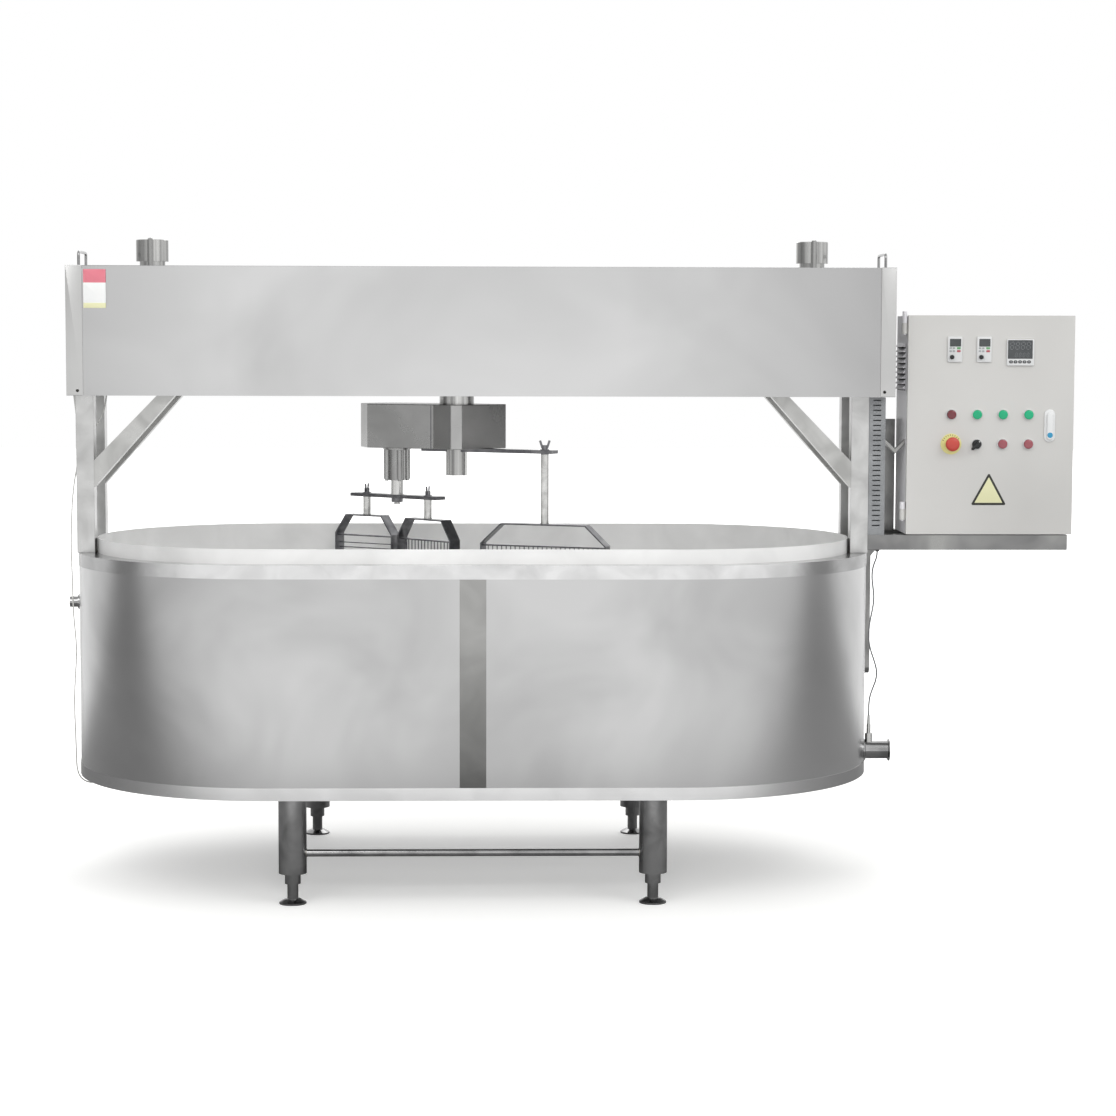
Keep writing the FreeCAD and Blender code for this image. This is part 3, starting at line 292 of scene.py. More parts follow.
# square tube, satin along its length
satinSteel = stainless("stainlessTubeSatin", grain=alongZ, dark="#B8B8B7", light="#D2D2D1", rough=0.28,
                       cloudScale=11.0, waveDepth=0.001)
# painted shade: the shelf frame, under the cabinet, is a darker copy of the same satin tube
shelfSteel = stainless("stainlessShelfSatin", grain=alongX, dark="#808080", light="#A4A4A2", rough=0.28,
                       cloudScale=5.0, waveDepth=0.001)
# painted shade: the level braces and ties are a darker copy of the same satin tube
satinSteelLevel = stainless("stainlessTubeSatinLevel", grain=alongX, dark="#AAAAA8", light="#C6C6C4",
                          rough=0.28, cloudScale=11.0, waveDepth=0.001)
# polished pipe and turned parts: high contrast, with marks around the axis
# painted shade: the pipe's colour is darkened to stand in for the dark room that the legs mirror
pipeSteel = stainless("stainlessPipePolished", dark="#8F8F8F", light="#B4B4B4", rough=0.15, spread=0.03,
                      cloudScale=14.0, waveDepth=0.0004)
turnedSteel = stainless("stainlessTurned", grain=(6, 6, 900), dark="#8A8A89", light="#D8D8D6", rough=0.18,
                        cloudScale=20.0, streaks=(3, 3, 0.02), twist=0.0, waveDepth=0.0002,
                        grainDepth=0.00002)
# the stirring head's sheet is a duller, darker batch
headSteel = stainless("stainlessHeadBrushed", grain=alongX, dark="#A0A09F", light="#B4B4B3", rough=0.26,
                      cloudScale=5.0, waveDepth=0.002)
# harps and arms: flat bar with mill scale pickled off, darkest of the steels
barSteel = stainless("stainlessFlatBar", grain=(150, 150, 150), dark="#66666A", light="#8A8A8C", rough=0.3,
                     cloudScale=24.0, waveDepth=0.0003)
weldSteel = stainless("stainlessWeldBead", grain=(300, 300, 300), dark="#8C8880", light="#C2BEB4",
                      rough=0.3, cloudScale=60.0, waveDepth=0.0002)
chainSteel = stainless("carbonSteelOiled", grain=(200, 200, 200), dark="#2E2D2B", light="#4A4845",
                       rough=0.34, cloudScale=30.0, waveDepth=0.0002)
# powder coat: fine orange peel about 1.6 mm across
cabinetPaint = coated("powderCoatLightGrey", "#C8C7C4", "#D3D2CF", 0.42, 1.6, 0.04, cloudScale=2.0)
# painted light: the cabinet body's walls get a lighter, bluer copy of the same powder coat
cabinetSide = coated("powderCoatSidePaintedLight", "#DEDDE0", "#EAE9EC", 0.4, 1.6, 0.04, cloudScale=2.0)
motorPaint = coated("enamelGreyBlue", "#3A434C", "#4A545E", 0.35, 1.2, 0.05)
foam = coated("polyurethaneFoam", "#C9A95C", "#E2C987", 0.9, 1.5, 0.4)
blackPlastic = coated("polyamideBlackMoulded", "#101112", "#1B1C1E", 0.38, 0.6, 0.02, ior=1.53)
paleFrame = coated("absPaleMoulded", "#D7D8D8", "#E4E5E5", 0.32, 0.7, 0.02, ior=1.54)
darkGlass = coated("acrylicDarkWindow", "#3B3E40", "#46494B", 0.12, 4.0, 0.01, ior=1.49, coat=0.4)
dimSegment = coated("displaySegmentUnlit", "#6A6E70", "#767A7C", 0.3, 2.0, 0.01)
greyKey = coated("absGreyKey", "#9FA2A4", "#B2B5B7", 0.4, 0.6, 0.02)
greenKey = coated("absGreenKey", "#5F9E68", "#74B37C", 0.4, 0.6, 0.02)
redKey = coated("absRedKey", "#B0545B", "#C2666C", 0.4, 0.6, 0.02)
# painted light: the green caps glow faintly of their own, with no lamp inside
greenLens = coated("polycarbonateGreenLens", "#008C5E", "#00B07C", 0.2, 2.5, 0.06, coat=0.2, glow=0.16)
redLens = coated("polycarbonateRedLens", "#8E3A44", "#A04C56", 0.18, 2.5, 0.06, ior=1.58, coat=0.5)
darkRedLens = coated("polycarbonateDarkRedLens", "#5A0A18", "#7A1526", 0.16, 2.5, 0.06, ior=1.58, coat=0.6)
stopRed = coated("absSignalRed", "#C2443A", "#CE5446", 0.3, 0.8, 0.02)
discYellow = coated("absPaleYellow", "#DFD98E", "#EAE5A4", 0.4, 0.8, 0.02)
silverRing = coated("zincSatinRing", "#D8D8D8", "#EEEEEE", 0.24, 1.0, 0.01, metallic=0.4)
whiteEnamel = coated("zincWhiteLacquer", "#E6E7E7", "#F2F3F3", 0.25, 1.4, 0.02, coat=0.4)
blueCap = coated("absBlueCap", "#2C93BE", "#45A9D2", 0.3, 0.8, 0.02)
# matte near-black with no gloss: a painted shadow, laid as thin strips in the louvre gaps
gasketRubber = coated("paintedShadowMatte", "#161616", "#242424", 0.7, 0.8, 0.05)
ductPlastic = coated("galvanisedDuctGrey", "#86888A", "#9EA0A2", 0.4, 3.0, 0.04, metallic=0.5,
                     cloudScale=14.0)
paleSheath = coated("pvcPaleSheath", "#CFCFCB", "#E4E4E0", 0.4, 1.2, 0.03, cloudScale=20.0)
greySheath = coated("pvcGreySheath", "#76787A", "#8E9092", 0.4, 1.2, 0.03, cloudScale=20.0)
labelRed = coated("vinylRedPrint", "#D9707F", "#E58593", 0.3, 2.0, 0.01)
labelPale = coated("vinylPalePrint", "#E8E9E8", "#F2F3F2", 0.3, 2.0, 0.01)
labelYellow = coated("vinylYellowPrint", "#DAD9A8", "#E6E5BA", 0.3, 2.0, 0.01)
labelBlack = coated("vinylBlackPrint", "#1E1F1A", "#2B2C26", 0.35, 2.0, 0.01)
print("materials made:", len(bpy.data.materials))

# surfaces: a part is its points, its quads and its flat caps


def turnOutward(points, quads, caps):
    # six times the volume is the sum over triangles of a . (b x c);
    # where it comes out negative, every face is turned
    loops = [quads[:, [0, 1, 2]], quads[:, [0, 2, 3]]]
    loops += [np.stack([np.full(len(cap) - 2, cap[0]), cap[1:-1], cap[2:]], -1) for cap in caps]
    a, b, c = (points[np.concatenate(loops)[:, k]] for k in range(3))
    if np.einsum("ij,ij->i", a, np.cross(b, c)).sum() < 0:
        quads, caps = quads[:, ::-1], [cap[::-1] for cap in caps]
    return points, quads, caps


def gridPart(sections, closedPath):
    # sections[i, j] is point j round section i; neighbours are
    # joined by quads, and an open path gets flat ends
    count, around = sections.shape[:2]
    i = np.arange(count if closedPath else count - 1)[:, None]
    j = np.arange(around)[None, :]
    after, beside = (i + 1) % count, (j + 1) % around
    quads = np.stack([i * around + j, after * around + j, after * around + beside, i * around + beside], -1)
    quads = quads.reshape(-1, 4)
    ends = [] if closedPath else [np.arange(around), np.arange(around)[::-1] + (count - 1) * around]
    return turnOutward(sections.reshape(-1, 3), quads, ends)


def cornerRays(corners):
    # at each corner: the unit directions to both neighbours, half the
    # angle between them, and the bisector's direction
    p = np.asarray(corners, float)
    a = np.roll(p, 1, 0) - p
    b = np.roll(p, -1, 0) - p
    a /= np.linalg.norm(a, axis=1, keepdims=True)
    b /= np.linalg.norm(b, axis=1, keepdims=True)
    half = np.arccos(np.clip((a * b).sum(1, keepdims=True), -1, 1)) / 2
    return p, a, b, half, (a + b) / np.linalg.norm(a + b, axis=1, keepdims=True)


def roundedLoop(corners, radius, steps=5):
    # each corner becomes an arc tangent to both sides: its centre is radius / sin(half angle) along the
    # bisector, and its points turn from one tangent point to the other by spherical blending
    p, a, b, half, bisector = cornerRays(corners)
    r = np.broadcast_to(np.asarray(radius, float), (len(p),))[:, None]
    centre = p + bisector * r / np.sin(half)
    start = p + a * r / np.tan(half) - centre
    stop = p + b * r / np.tan(half) - centre
    turn = np.pi - 2 * half
    t = np.linspace(0, 1, steps)[None, :, None]
    fromStart, toStop = np.sin((1 - t) * turn[:, None]), np.sin(t * turn[:, None])
    arcs = (fromStart * start[:, None] + toStop * stop[:, None]) / np.sin(turn[:, None])
    return (centre[:, None] + arcs).reshape(-1, 2)


def insetLoop(corners, radius, inset, steps=5):
    # the outline moved inward: corners go along their bisectors and the arcs shrink by the same amount
    p, a, b, half, bisector = cornerRays(corners)
    return roundedLoop(p + bisector * inset / np.sin(half), max(radius - inset, 0.00002), steps)


def platePart(corners, radius, rings, origin, across, up, steps=5):
    # an outline stood on the plane of across and up; each ring is
    # that outline inset and raised along across x up
    across, up = np.asarray(across, float), np.asarray(up, float)
    out = np.cross(across, up)
    layers = [insetLoop(corners, radius, inset, steps) for inset, height in rings]
    sections = np.stack([np.asarray(origin) + layer[:, :1] * across + layer[:, 1:] * up + out * height
                         for layer, (inset, height) in zip(layers, rings)])
    return gridPart(sections, False)


def softRings(thick, soft):
    # a plate's edge from its back to its front, with a quarter round of
    # this radius at the front and a small one behind
    turns = np.linspace(0, np.pi / 2, 4)
    front = [(soft * (1 - math.cos(a)), thick - soft + soft * math.sin(a)) for a in turns]
    return [(soft * 0.3, 0.0), (0.0, soft * 0.3)] + front


def rectangle(halfWide, halfHigh):
    return [(-halfWide, -halfHigh), (halfWide, -halfHigh), (halfWide, halfHigh), (-halfWide, halfHigh)]


def boxPart(low, high, soft):
    # a box with softened edges, built as a plate seen from the front: its rings shrink at both ends
    low, high = np.asarray(low, float), np.asarray(high, float)
    middle, half = (low + high) / 2, (high - low) / 2
    turns = np.linspace(0, np.pi / 2, 4)
    depth = 2 * half[1]
    rings = [(soft * (1 - math.sin(a)), soft * (1 - math.cos(a))) for a in turns]
    rings += [(soft * (1 - math.cos(a)), depth - soft * (1 - math.sin(a))) for a in turns]
    back = (middle[0], high[1], middle[2])
    return platePart(rectangle(half[0], half[2]), soft, rings, back, (1, 0, 0), (0, 0, 1))


def lathePart(profile, centre, axis=(0, 0, 1), steps=48):
    # profile is (radius, height) round a closed loop, and every point
    # of it is turned about the axis through centre
    axis = np.asarray(axis, float)
    side = np.array([1.0, 0, 0]) if abs(axis[0]) < 0.5 else np.array([0, 1.0, 0])
    other = np.cross(axis, side)
    angle = np.linspace(0, 2 * np.pi, steps, endpoint=False)[:, None, None]
    loop = np.asarray(profile, float)
    radius, height = loop[None, :, :1], loop[None, :, 1:]
    spokes = np.cos(angle) * side + np.sin(angle) * other
    return gridPart(np.asarray(centre) + radius * spokes + height * axis, True)


def sweepPart(path, radius, closed, level=(0, 0, 1), around=8):
    # a round section carried along a path; the section is square to the path, with level as its upright
    path = np.asarray(path, float)
    along = np.roll(path, -1, 0) - np.roll(path, 1, 0) if closed else np.gradient(path, axis=0)
    along /= np.linalg.norm(along, axis=1, keepdims=True)
    side = np.cross(along, np.asarray(level, float))
    side /= np.linalg.norm(side, axis=1, keepdims=True)
    upright = np.cross(side, along)
    angle = np.linspace(0, 2 * np.pi, around, endpoint=False)[None, :, None]
    radii = np.broadcast_to(radius, (len(path),))[:, None, None]
    spokes = np.cos(angle) * side[:, None] + np.sin(angle) * upright[:, None]
    return gridPart(path[:, None] + radii * spokes, closed)


def spacedLoop(points, step, closed=True):
    # the same line with its long sides divided: points at even steps are blended in between the corners
    points = np.asarray(points, float)
    line = np.vstack([points, points[:1]]) if closed else points
    reach = np.concatenate([[0], np.cumsum(np.linalg.norm(np.diff(line, axis=0), axis=1))])
    wanted = np.union1d(reach, np.arange(0, reach[-1], step))
    wanted = wanted[np.concatenate([[True], np.diff(wanted) > step * 0.02])]
    dense = np.stack([np.interp(wanted, reach, line[:, k]) for k in range(line.shape[1])], -1)
    return dense[:-1] if closed else dense


def makePiece(name, parts, material, body, stands=(), creaseDegrees=32):
    # parts are joined into one mesh, coincident points at poles and
    # seams are merged, and sharp edges are marked
    points, faces, first = [], [], 0
    for partPoints, quads, caps in parts:
        points.append(partPoints)
        faces += (quads + first).tolist() + [(cap + first).tolist() for cap in caps]
        first += len(partPoints)
    mesh = bpy.data.meshes.new(name)
    mesh.from_pydata(np.concatenate(points).tolist(), [], faces)
    work = bmesh.new()
    work.from_mesh(mesh)
    bmesh.ops.remove_doubles(work, verts=work.verts, dist=0.000002)
    work.to_mesh(mesh)
    work.free()
    mesh.polygons.foreach_set("use_smooth", np.ones(len(mesh.polygons), bool))
    mesh.set_sharp_from_angle(angle=math.radians(creaseDegrees))
    mesh.materials.append(material)
    piece = placeObject(name, mesh)
    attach(piece, body)
    if stands:
        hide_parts(*stands)
    return piece


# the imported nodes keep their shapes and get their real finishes

nodeFinish = {
    "stainlessJacket": (jacketSteel, ["outer_jacket", "heating_jacket"]),
    "band": (bandSteel, ["shoulder_ring"]), "pan": (panSteel, ["base_pan"]),
    "strip": (stripSteel, ["seam_strips"]), "tub": (tubSteel, ["inner_tub"]),
    "beam": (beamSteel, ["beam_cover"]), "upright": (satinSteel, ["posts", "beam_frame"]),
    "level": (satinSteelLevel, ["braces_and_ties"]), "shelf": (shelfSteel, ["shelf_frame"]),
    "pipe": (pipeSteel, ["leg_frame", "milk_outlet", "inlet_socket", "lifting_handles"]),
    "turned": (turnedSteel,
               ["sprocket_caps", "hub_sleeve", "turret_shaft", "planet_shaft", "outlet_probe"]),
    "head": (headSteel, ["turret_housing", "turret_floor", "carriage_plate"]),
    "bar": (barSteel, ["stir_arm", "large_harp", "cross_arm", "left_harp", "right_harp"]),
    "chain": (chainSteel,
              ["idler_sprocket", "drive_sprocket", "travel_chain", "wheelset_left",
               "wheelset_right", "fixed_sprocket", "head_chain", "planet_sprocket"]),
    "enamel": (motorPaint, ["travel_motor", "agitator_motor"]), "foam": (foam, ["insulation"]),
    "duct": (ductPlastic, ["cable_duct"]), "cabinet": (cabinetPaint, ["cabinet_door"]),
    "cabinetSide": (cabinetSide, ["cabinet_body"]), "inside": (greyKey, ["cabinet_internals"]),
    "fittings": (blackPlastic,
                 ["panel_fittings", "emergency_stop", "selector_switch", "speed_knob_1",
                  "speed_knob_2"]),
    "green": (greenLens, ["green_button_1", "green_button_2", "green_button_3"]),
    "red": (redLens, ["red_button_1", "red_button_2"]), "lacquer": (whiteEnamel, ["door_handle"]),
    "feet": (pipeSteel,
             ["foot_front_left", "foot_front_right", "foot_rear_left", "foot_rear_right"]),
    "cables": (paleSheath, ["left_cable", "right_cable"])
}
for material, names in nodeFinish.values():
    for name in names:
        slots = nodes[name].material_slots
        if not slots:
            nodes[name].data.materials.append(material)
        for place in nodes[name].material_slots:
            place.material = material
print("finishes given to the packed nodes")

# the two hanging cables, each one smooth line through its route

cables = {
    "leftCable": {
        "stands": "left_cable", "radius": 0.0020, "material": paleSheath, "slot": "cable_pale",
        "route": [(-1.31735, -0.030, 1.3678), (-1.32135, -0.031, 1.335), (-1.33135, -0.034, 1.304),
                  (-1.34935, -0.038, 1.274), (-1.37435, -0.042, 1.246), (-1.39235, -0.046, 1.212),
                  (-1.40035, -0.050, 1.166), (-1.40835, -0.055, 1.120), (-1.41335, -0.062, 1.068),
                  (-1.41535, -0.068, 1.014), (-1.41635, -0.074, 0.958), (-1.41535, -0.080, 0.902),
                  (-1.41235, -0.085, 0.848), (-1.41135, -0.088, 0.794), (-1.40935, -0.090, 0.738),
                  (-1.40335, -0.092, 0.682), (-1.40135, -0.094, 0.626), (-1.40535, -0.096, 0.572),
                  (-1.40835, -0.097, 0.516), (-1.40835, -0.098, 0.460), (-1.40635, -0.098, 0.404),
                  (-1.40535, -0.098, 0.360), (-1.40485, -0.098, 0.330), (-1.40335, -0.098, 0.302),
                  (-1.39535, -0.098, 0.278), (-1.37635, -0.098, 0.264), (-1.35135, -0.097, 0.262),
                  (-1.32535, -0.096, 0.267), (-1.30335, -0.095, 0.272), (-1.28135, -0.095, 0.274)]},
    "rightCable": {
        "stands": "right_cable", "radius": 0.0023, "material": greySheath, "slot": "cable_grey",
        "route": [(0.88965, -0.034, 0.9204), (0.88865, -0.0345, 0.904), (0.88265, -0.036, 0.890),
                  (0.87665, -0.037, 0.872), (0.87465, -0.038, 0.848), (0.87765, -0.038, 0.820),
                  (0.88165, -0.037, 0.792), (0.87965, -0.036, 0.762), (0.87365, -0.035, 0.732),
                  (0.86865, -0.034, 0.700), (0.86765, -0.032, 0.668), (0.87365, -0.029, 0.636),
                  (0.88565, -0.026, 0.604), (0.89465, -0.022, 0.574), (0.89365, -0.017, 0.546),
                  (0.88465, -0.011, 0.520), (0.87765, -0.005, 0.496), (0.87565, -0.001, 0.474),
                  (0.87565, 0.0, 0.456), (0.87565, 0.0, 0.440)]}
}


def makeCable(name, look):
    data = bpy.data.curves.new(name, "CURVE")
    data.dimensions = "3D"
    data.bevel_depth = look["radius"]
    data.bevel_resolution = 3
    data.resolution_u = 8
    data.use_fill_caps = True
    line = data.splines.new("NURBS")
    line.points.add(len(look["route"]) - 1)
    for point, place in zip(line.points, look["route"]):
        point.co = (*place, 1.0)
    line.order_u = 3
    line.use_endpoint_u = True
    data.materials.append(look["material"])
    cable = placeObject(name, data)
    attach(cable, "vat")
    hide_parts(look["stands"])
    return cable


leftCable = makeCable("leftCable", cables["leftCable"])
rightCable = makeCable("rightCable", cables["rightCable"])
print("cables hung")

# sheet-metal nodes shown with their folded edges softened:
# a merged copy, flat faces joined, edges rounded


def softenNode(name, pieceName, material, body, width, slot=None, angle=34):
    source = nodes[name]
    mesh = source.data.copy()
    mesh.name = pieceName
    work = bmesh.new()
    work.from_mesh(mesh)
    bmesh.ops.remove_doubles(work, verts=work.verts, dist=0.000004)
    bmesh.ops.dissolve_limit(work, angle_limit=math.radians(1.0), verts=work.verts, edges=work.edges)
    work.to_mesh(mesh)
    work.free()
    mesh.materials.clear()
    mesh.materials.append(material)
    mesh.polygons.foreach_set("material_index", np.zeros(len(mesh.polygons), np.int32))
    mesh.polygons.foreach_set("use_smooth", np.zeros(len(mesh.polygons), bool))
    piece = placeObject(pieceName, mesh)
    softEdge = piece.modifiers.new("edges", "BEVEL")
    softEdge.width = width
    softEdge.segments = 3
    softEdge.limit_method = "ANGLE"
    softEdge.angle_limit = math.radians(angle)
    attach(piece, body)
    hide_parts(name)
    return piece


softened = [
    ("beam_cover", "beamCover", beamSteel, "vat", 0.0026, "stainless_brushed"),
    ("cabinet_body", "cabinetShell", cabinetSide, "vat", 0.0012, "cabinet_paint"),
    ("cabinet_door", "cabinetDoor", cabinetPaint, "door", 0.0016, "cabinet_paint"),
    ("posts", "beamPosts", satinSteel, "vat", 0.003, "stainless_satin"),
    ("shelf_frame", "cabinetShelf", shelfSteel, "vat", 0.002, "stainless_satin"),
    ("turret_housing", "turretHousing", headSteel, "turret", 0.0015, "stainless_brushed"),
]
for row in softened:
    softenNode(*row)
print("folded edges softened")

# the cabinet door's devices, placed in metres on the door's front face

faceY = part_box("cabinet_door")[0].y
towardsYou, sideways, upward = (0, -1, 0), (1, 0, 0), (0, 0, 1)


def doorPlate(centreX, centreZ, halfWide, halfHigh, radius, thick, soft, proud=0.0, steps=5):
    # a rounded plate on the door's face, starting proud of it by that much
    return platePart(rectangle(halfWide, halfHigh), radius, softRings(thick, soft),
                     (centreX, faceY - proud, centreZ), sideways, upward, steps)


def middleOf(node):
    low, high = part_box(node)
    return (low.x + high.x) / 2, (low.z + high.z) / 2


def domeProfile(radius, base, top, crown, lip=0.0012):
    # a cap: straight wall from base to top, a rounded lip, and a face
    # that rises by crown to its middle as a parabola
    turn = np.linspace(0, np.pi / 2, 4)
    wall = [(0.0, base), (radius, base)]
    wall += [(radius - lip + lip * math.cos(a), top - lip + lip * math.sin(a)) for a in turn]
    inward = np.linspace(radius - lip, 0, 7)[1:]
    return wall + [(r, top + crown * (1 - (r / (radius - lip)) ** 2)) for r in inward]


def stemProfile(start, radius, end):
    return [(0, start), (radius, start), (radius, end), (0, end)]


def ringProfile(inner, outer, base, top, lip=0.0010):
    # a bezel: both front edges rounded by lip
    turn = np.linspace(0, np.pi / 2, 4)
    outside = [(outer - lip + lip * math.cos(a), top - lip + lip * math.sin(a)) for a in turn]
    inside = [(inner + lip - lip * math.sin(a), top - lip + lip * math.cos(a)) for a in turn]
    return [(inner, base), (outer, base)] + outside + inside


panel = {
    "keypad": {"centres": [middleOf("speed_knob_1")[0] + 0.009, middleOf("speed_knob_2")[0] + 0.009],
               "z": middleOf("speed_knob_1")[1] + 0.022, "half": (0.0205, 0.0358), "thick": 0.006,
               "window": (0.0010, 0.0185, 0.0158, 0.0108), "keyRows": (0.0032, -0.0052),
               "keyHalf": (0.0052, 0.0029), "colouredX": 0.0105, "greyX": (-0.0125, -0.0035)},
    "meter": {"x": 1.26865, "z": 1.4933, "half": (0.0385, 0.037), "thick": 0.007,
              "window": (-0.0010, 0.0085, 0.0350, 0.0262), "keysZ": -0.0265, "keyPitch": 0.0127,
              "keyHalf": (0.0054, 0.0040)},
    "lamp": {"outer": 0.0156, "inner": 0.0132, "thick": 0.006, "lens": 0.0128, "lensTop": 0.0095,
             "crown": 0.0014, "lensBase": 0.002, "capBase": 0.0032, "pitch": 0.073},
    "stop": {"disc": 0.0295, "discThick": 0.002, "collar": 0.0165, "tickReach": 0.0252,
             "tickTurns": (35, 156, 15)},
    "lock": {"place": (1.35515, 1.287), "half": (0.0155, 0.046)},
    "label": {"apex": (1.18565, 1.154), "base": (1.13465, 1.23565, 1.062)}
}

# a key or a window stands a little below its frame's front
padFace = panel["keypad"]["thick"] - 0.0002
meterFace = panel["meter"]["thick"] - 0.0002
frames, windows, keysGreen, keysRed, keysGrey, keysDark, segments = [], [], [], [], [], [], []
pad = panel["keypad"]
for x in pad["centres"]:
    frames.append(doorPlate(x, pad["z"], *pad["half"], 0.0025, pad["thick"], 0.0012))
    frames.append(boxPart((x - 0.018, faceY - 0.0005, pad["z"] - 0.032),
                          (x + 0.018, faceY + 0.044, pad["z"] + 0.032), 0.001))
    wx, wz, ww, wh = pad["window"]
    windows.append(doorPlate(x + wx, pad["z"] + wz, ww, wh, 0.0012, 0.0009, 0.0004, padFace))
    for row, keyList in zip(pad["keyRows"], (keysGreen, keysRed)):
        keyList.append(doorPlate(x + pad["colouredX"], pad["z"] + row, *pad["keyHalf"], 0.0014, 0.0016,
                                 0.0006, padFace))
        for gx in pad["greyX"]:
            keysGrey.append(doorPlate(x + gx, pad["z"] + row, 0.0034, 0.0026, 0.0012, 0.0014, 0.0005,
                                      padFace))

meter = panel["meter"]
mx, mz = meter["x"], meter["z"]
frames.append(doorPlate(mx, mz, *meter["half"], 0.003, meter["thick"], 0.0014))
frames.append(boxPart((mx - 0.034, faceY - 0.0005, mz - 0.034), (mx + 0.034, faceY + 0.062, mz + 0.034),
                      0.001))
wx, wz, ww, wh = meter["window"]
windows.append(doorPlate(mx + wx, mz + wz, ww, wh, 0.0016, 0.0009, 0.0004, meterFace))
for k in range(5):
    kx = mx - 0.0014 + (k - 2) * meter["keyPitch"]
    keysDark.append(doorPlate(kx, mz + meter["keysZ"], *meter["keyHalf"], 0.0038, 0.0014, 0.0006,
                              meterFace))
    keysGrey.append(doorPlate(kx, mz + meter["keysZ"], 0.0026, 0.0014, 0.0012, 0.0018, 0.0004,
                              meterFace))


def digitBars(centreX, centreZ, wide, high, bar):
    # a seven-segment figure as seven slanted bars: three level ones at
    # the ends and middle, four upright between them
    bars = [(0, high / 2, wide / 2 - bar, bar / 2), (0, 0, wide / 2 - bar, bar / 2),
            (0, -high / 2, wide / 2 - bar, bar / 2)]
    bars += [(sx * wide / 2, sz * high / 4, bar / 2, high / 4 - bar * 0.8)
             for sx in (-1, 1) for sz in (-1, 1)]
    return [doorPlate(centreX + bx + bz * 0.12, centreZ + bz, bw, bh, min(bw, bh) * 0.7, 0.0004, 0.0001,
                      meter["thick"] + 0.0005, 3) for bx, bz, bw, bh in bars]


for k in range(4):
    segments += digitBars(mx - 0.0010 + (k - 1.5) * 0.0155, mz + 0.0190, 0.0098, 0.0200, 0.0017)
    segments += digitBars(mx + 0.0040 + (k - 1.5) * 0.0110, mz - 0.0070, 0.0062, 0.0110, 0.0011)

bezels = []
lamp = panel["lamp"]
lampX = middleOf("green_button_1")[0] - lamp["pitch"]
lampZ = middleOf("green_button_1")[1]
buttonNames = ["green_button_1", "green_button_2", "green_button_3", "red_button_1", "red_button_2"]
roundPlaces = [(lampX, lampZ)] + [middleOf(name) for name in buttonNames + ["selector_switch"]]
for x, z in roundPlaces:
    bezels.append(lathePart(ringProfile(lamp["inner"], lamp["outer"], 0.0, lamp["thick"]), (x, faceY, z),
                            towardsYou))
stop = panel["stop"]
stopX, stopZ = middleOf("emergency_stop")
makePiece("panelFrames", frames, paleFrame, "door", ["panel_fittings"])
makePiece("panelWindows", windows, darkGlass, "door", ())
makePiece("panelGreenKeys", keysGreen, greenKey, "door", ())
makePiece("panelRedKeys", keysRed, redKey, "door", ())
makePiece("panelGreyKeys", keysGrey, greyKey, "door", ())
makePiece("panelDarkKeys", keysDark, blackPlastic, "door", ())
makePiece("meterSegments", segments, dimSegment, "door", ())
makePiece("lampBezels", bezels, silverRing, "door", ())
makePiece("darkRedLamp",
          [lathePart(domeProfile(lamp["lens"], lamp["lensBase"], lamp["lensTop"], lamp["crown"]),
                     (lampX, faceY, lampZ), towardsYou)], darkRedLens, "door", ())
makePiece("stopDisc",
          [lathePart(ringProfile(0.0115, stop["disc"], 0.0, stop["discThick"], 0.0006),
                     (stopX, faceY, stopZ), towardsYou),
           lathePart(ringProfile(0.0112, stop["collar"], 0.001, 0.009), (stopX, faceY, stopZ), towardsYou)],
          discYellow, "door", ())
ticks = []
tickCentre = np.array([stopX, faceY - stop["discThick"] + 0.0001, stopZ])
for turn in np.radians(np.arange(*stop["tickTurns"])):
    across = np.array([math.sin(turn), 0, -math.cos(turn)])
    outward = np.array([math.cos(turn), 0, math.sin(turn)])
    ticks.append(platePart(rectangle(0.0008, 0.0022), 0.0003, softRings(0.0004, 0.0001),
                           tickCentre + outward * stop["tickReach"], across, outward, 3))
makePiece("stopDiscTicks", ticks, labelBlack, "door", ())

for name in buttonNames:
    x, z = middleOf(name)
    # the cap starts far enough out that a full push leaves it clear of the door
    parts = [lathePart(domeProfile(lamp["lens"], lamp["capBase"], lamp["lensTop"], lamp["crown"]),
                       (x, faceY, z), towardsYou)]
    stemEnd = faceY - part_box(name)[1].y
    parts.append(lathePart(stemProfile(stemEnd, 0.0048, 0.0040), (x, faceY, z), towardsYou, 20))
    green = name.startswith("green")
    makePiece(name.replace("_", "") + "Cap", parts, greenLens if green else redLens, name, [name])

# mushroom head: a flared rim, a rolled edge and a flat crowned top, on its stem
low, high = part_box("emergency_stop")
reach = faceY - low.y
stem = [(0, faceY - high.y), (0.0048, faceY - high.y), (0.0048, 0.0065), (0.0100, 0.0065)]
# the head's own outline: radius, and depth behind its front
head = [(0.0100, 0.0125), (0.0150, 0.0115), (0.0192, 0.0100), (0.0200, 0.0085), (0.0199, 0.0065),
        (0.0188, 0.0042), (0.0160, 0.0022), (0.0115, 0.0010), (0.0060, 0.0003), (0, 0.0)]
mushroom = stem + [(radius, reach - depth) for radius, depth in head]
makePiece("stopButton", [lathePart(mushroom, (stopX, faceY, stopZ), towardsYou, 56)], stopRed,
          "emergency_stop", ["emergency_stop"], 50)

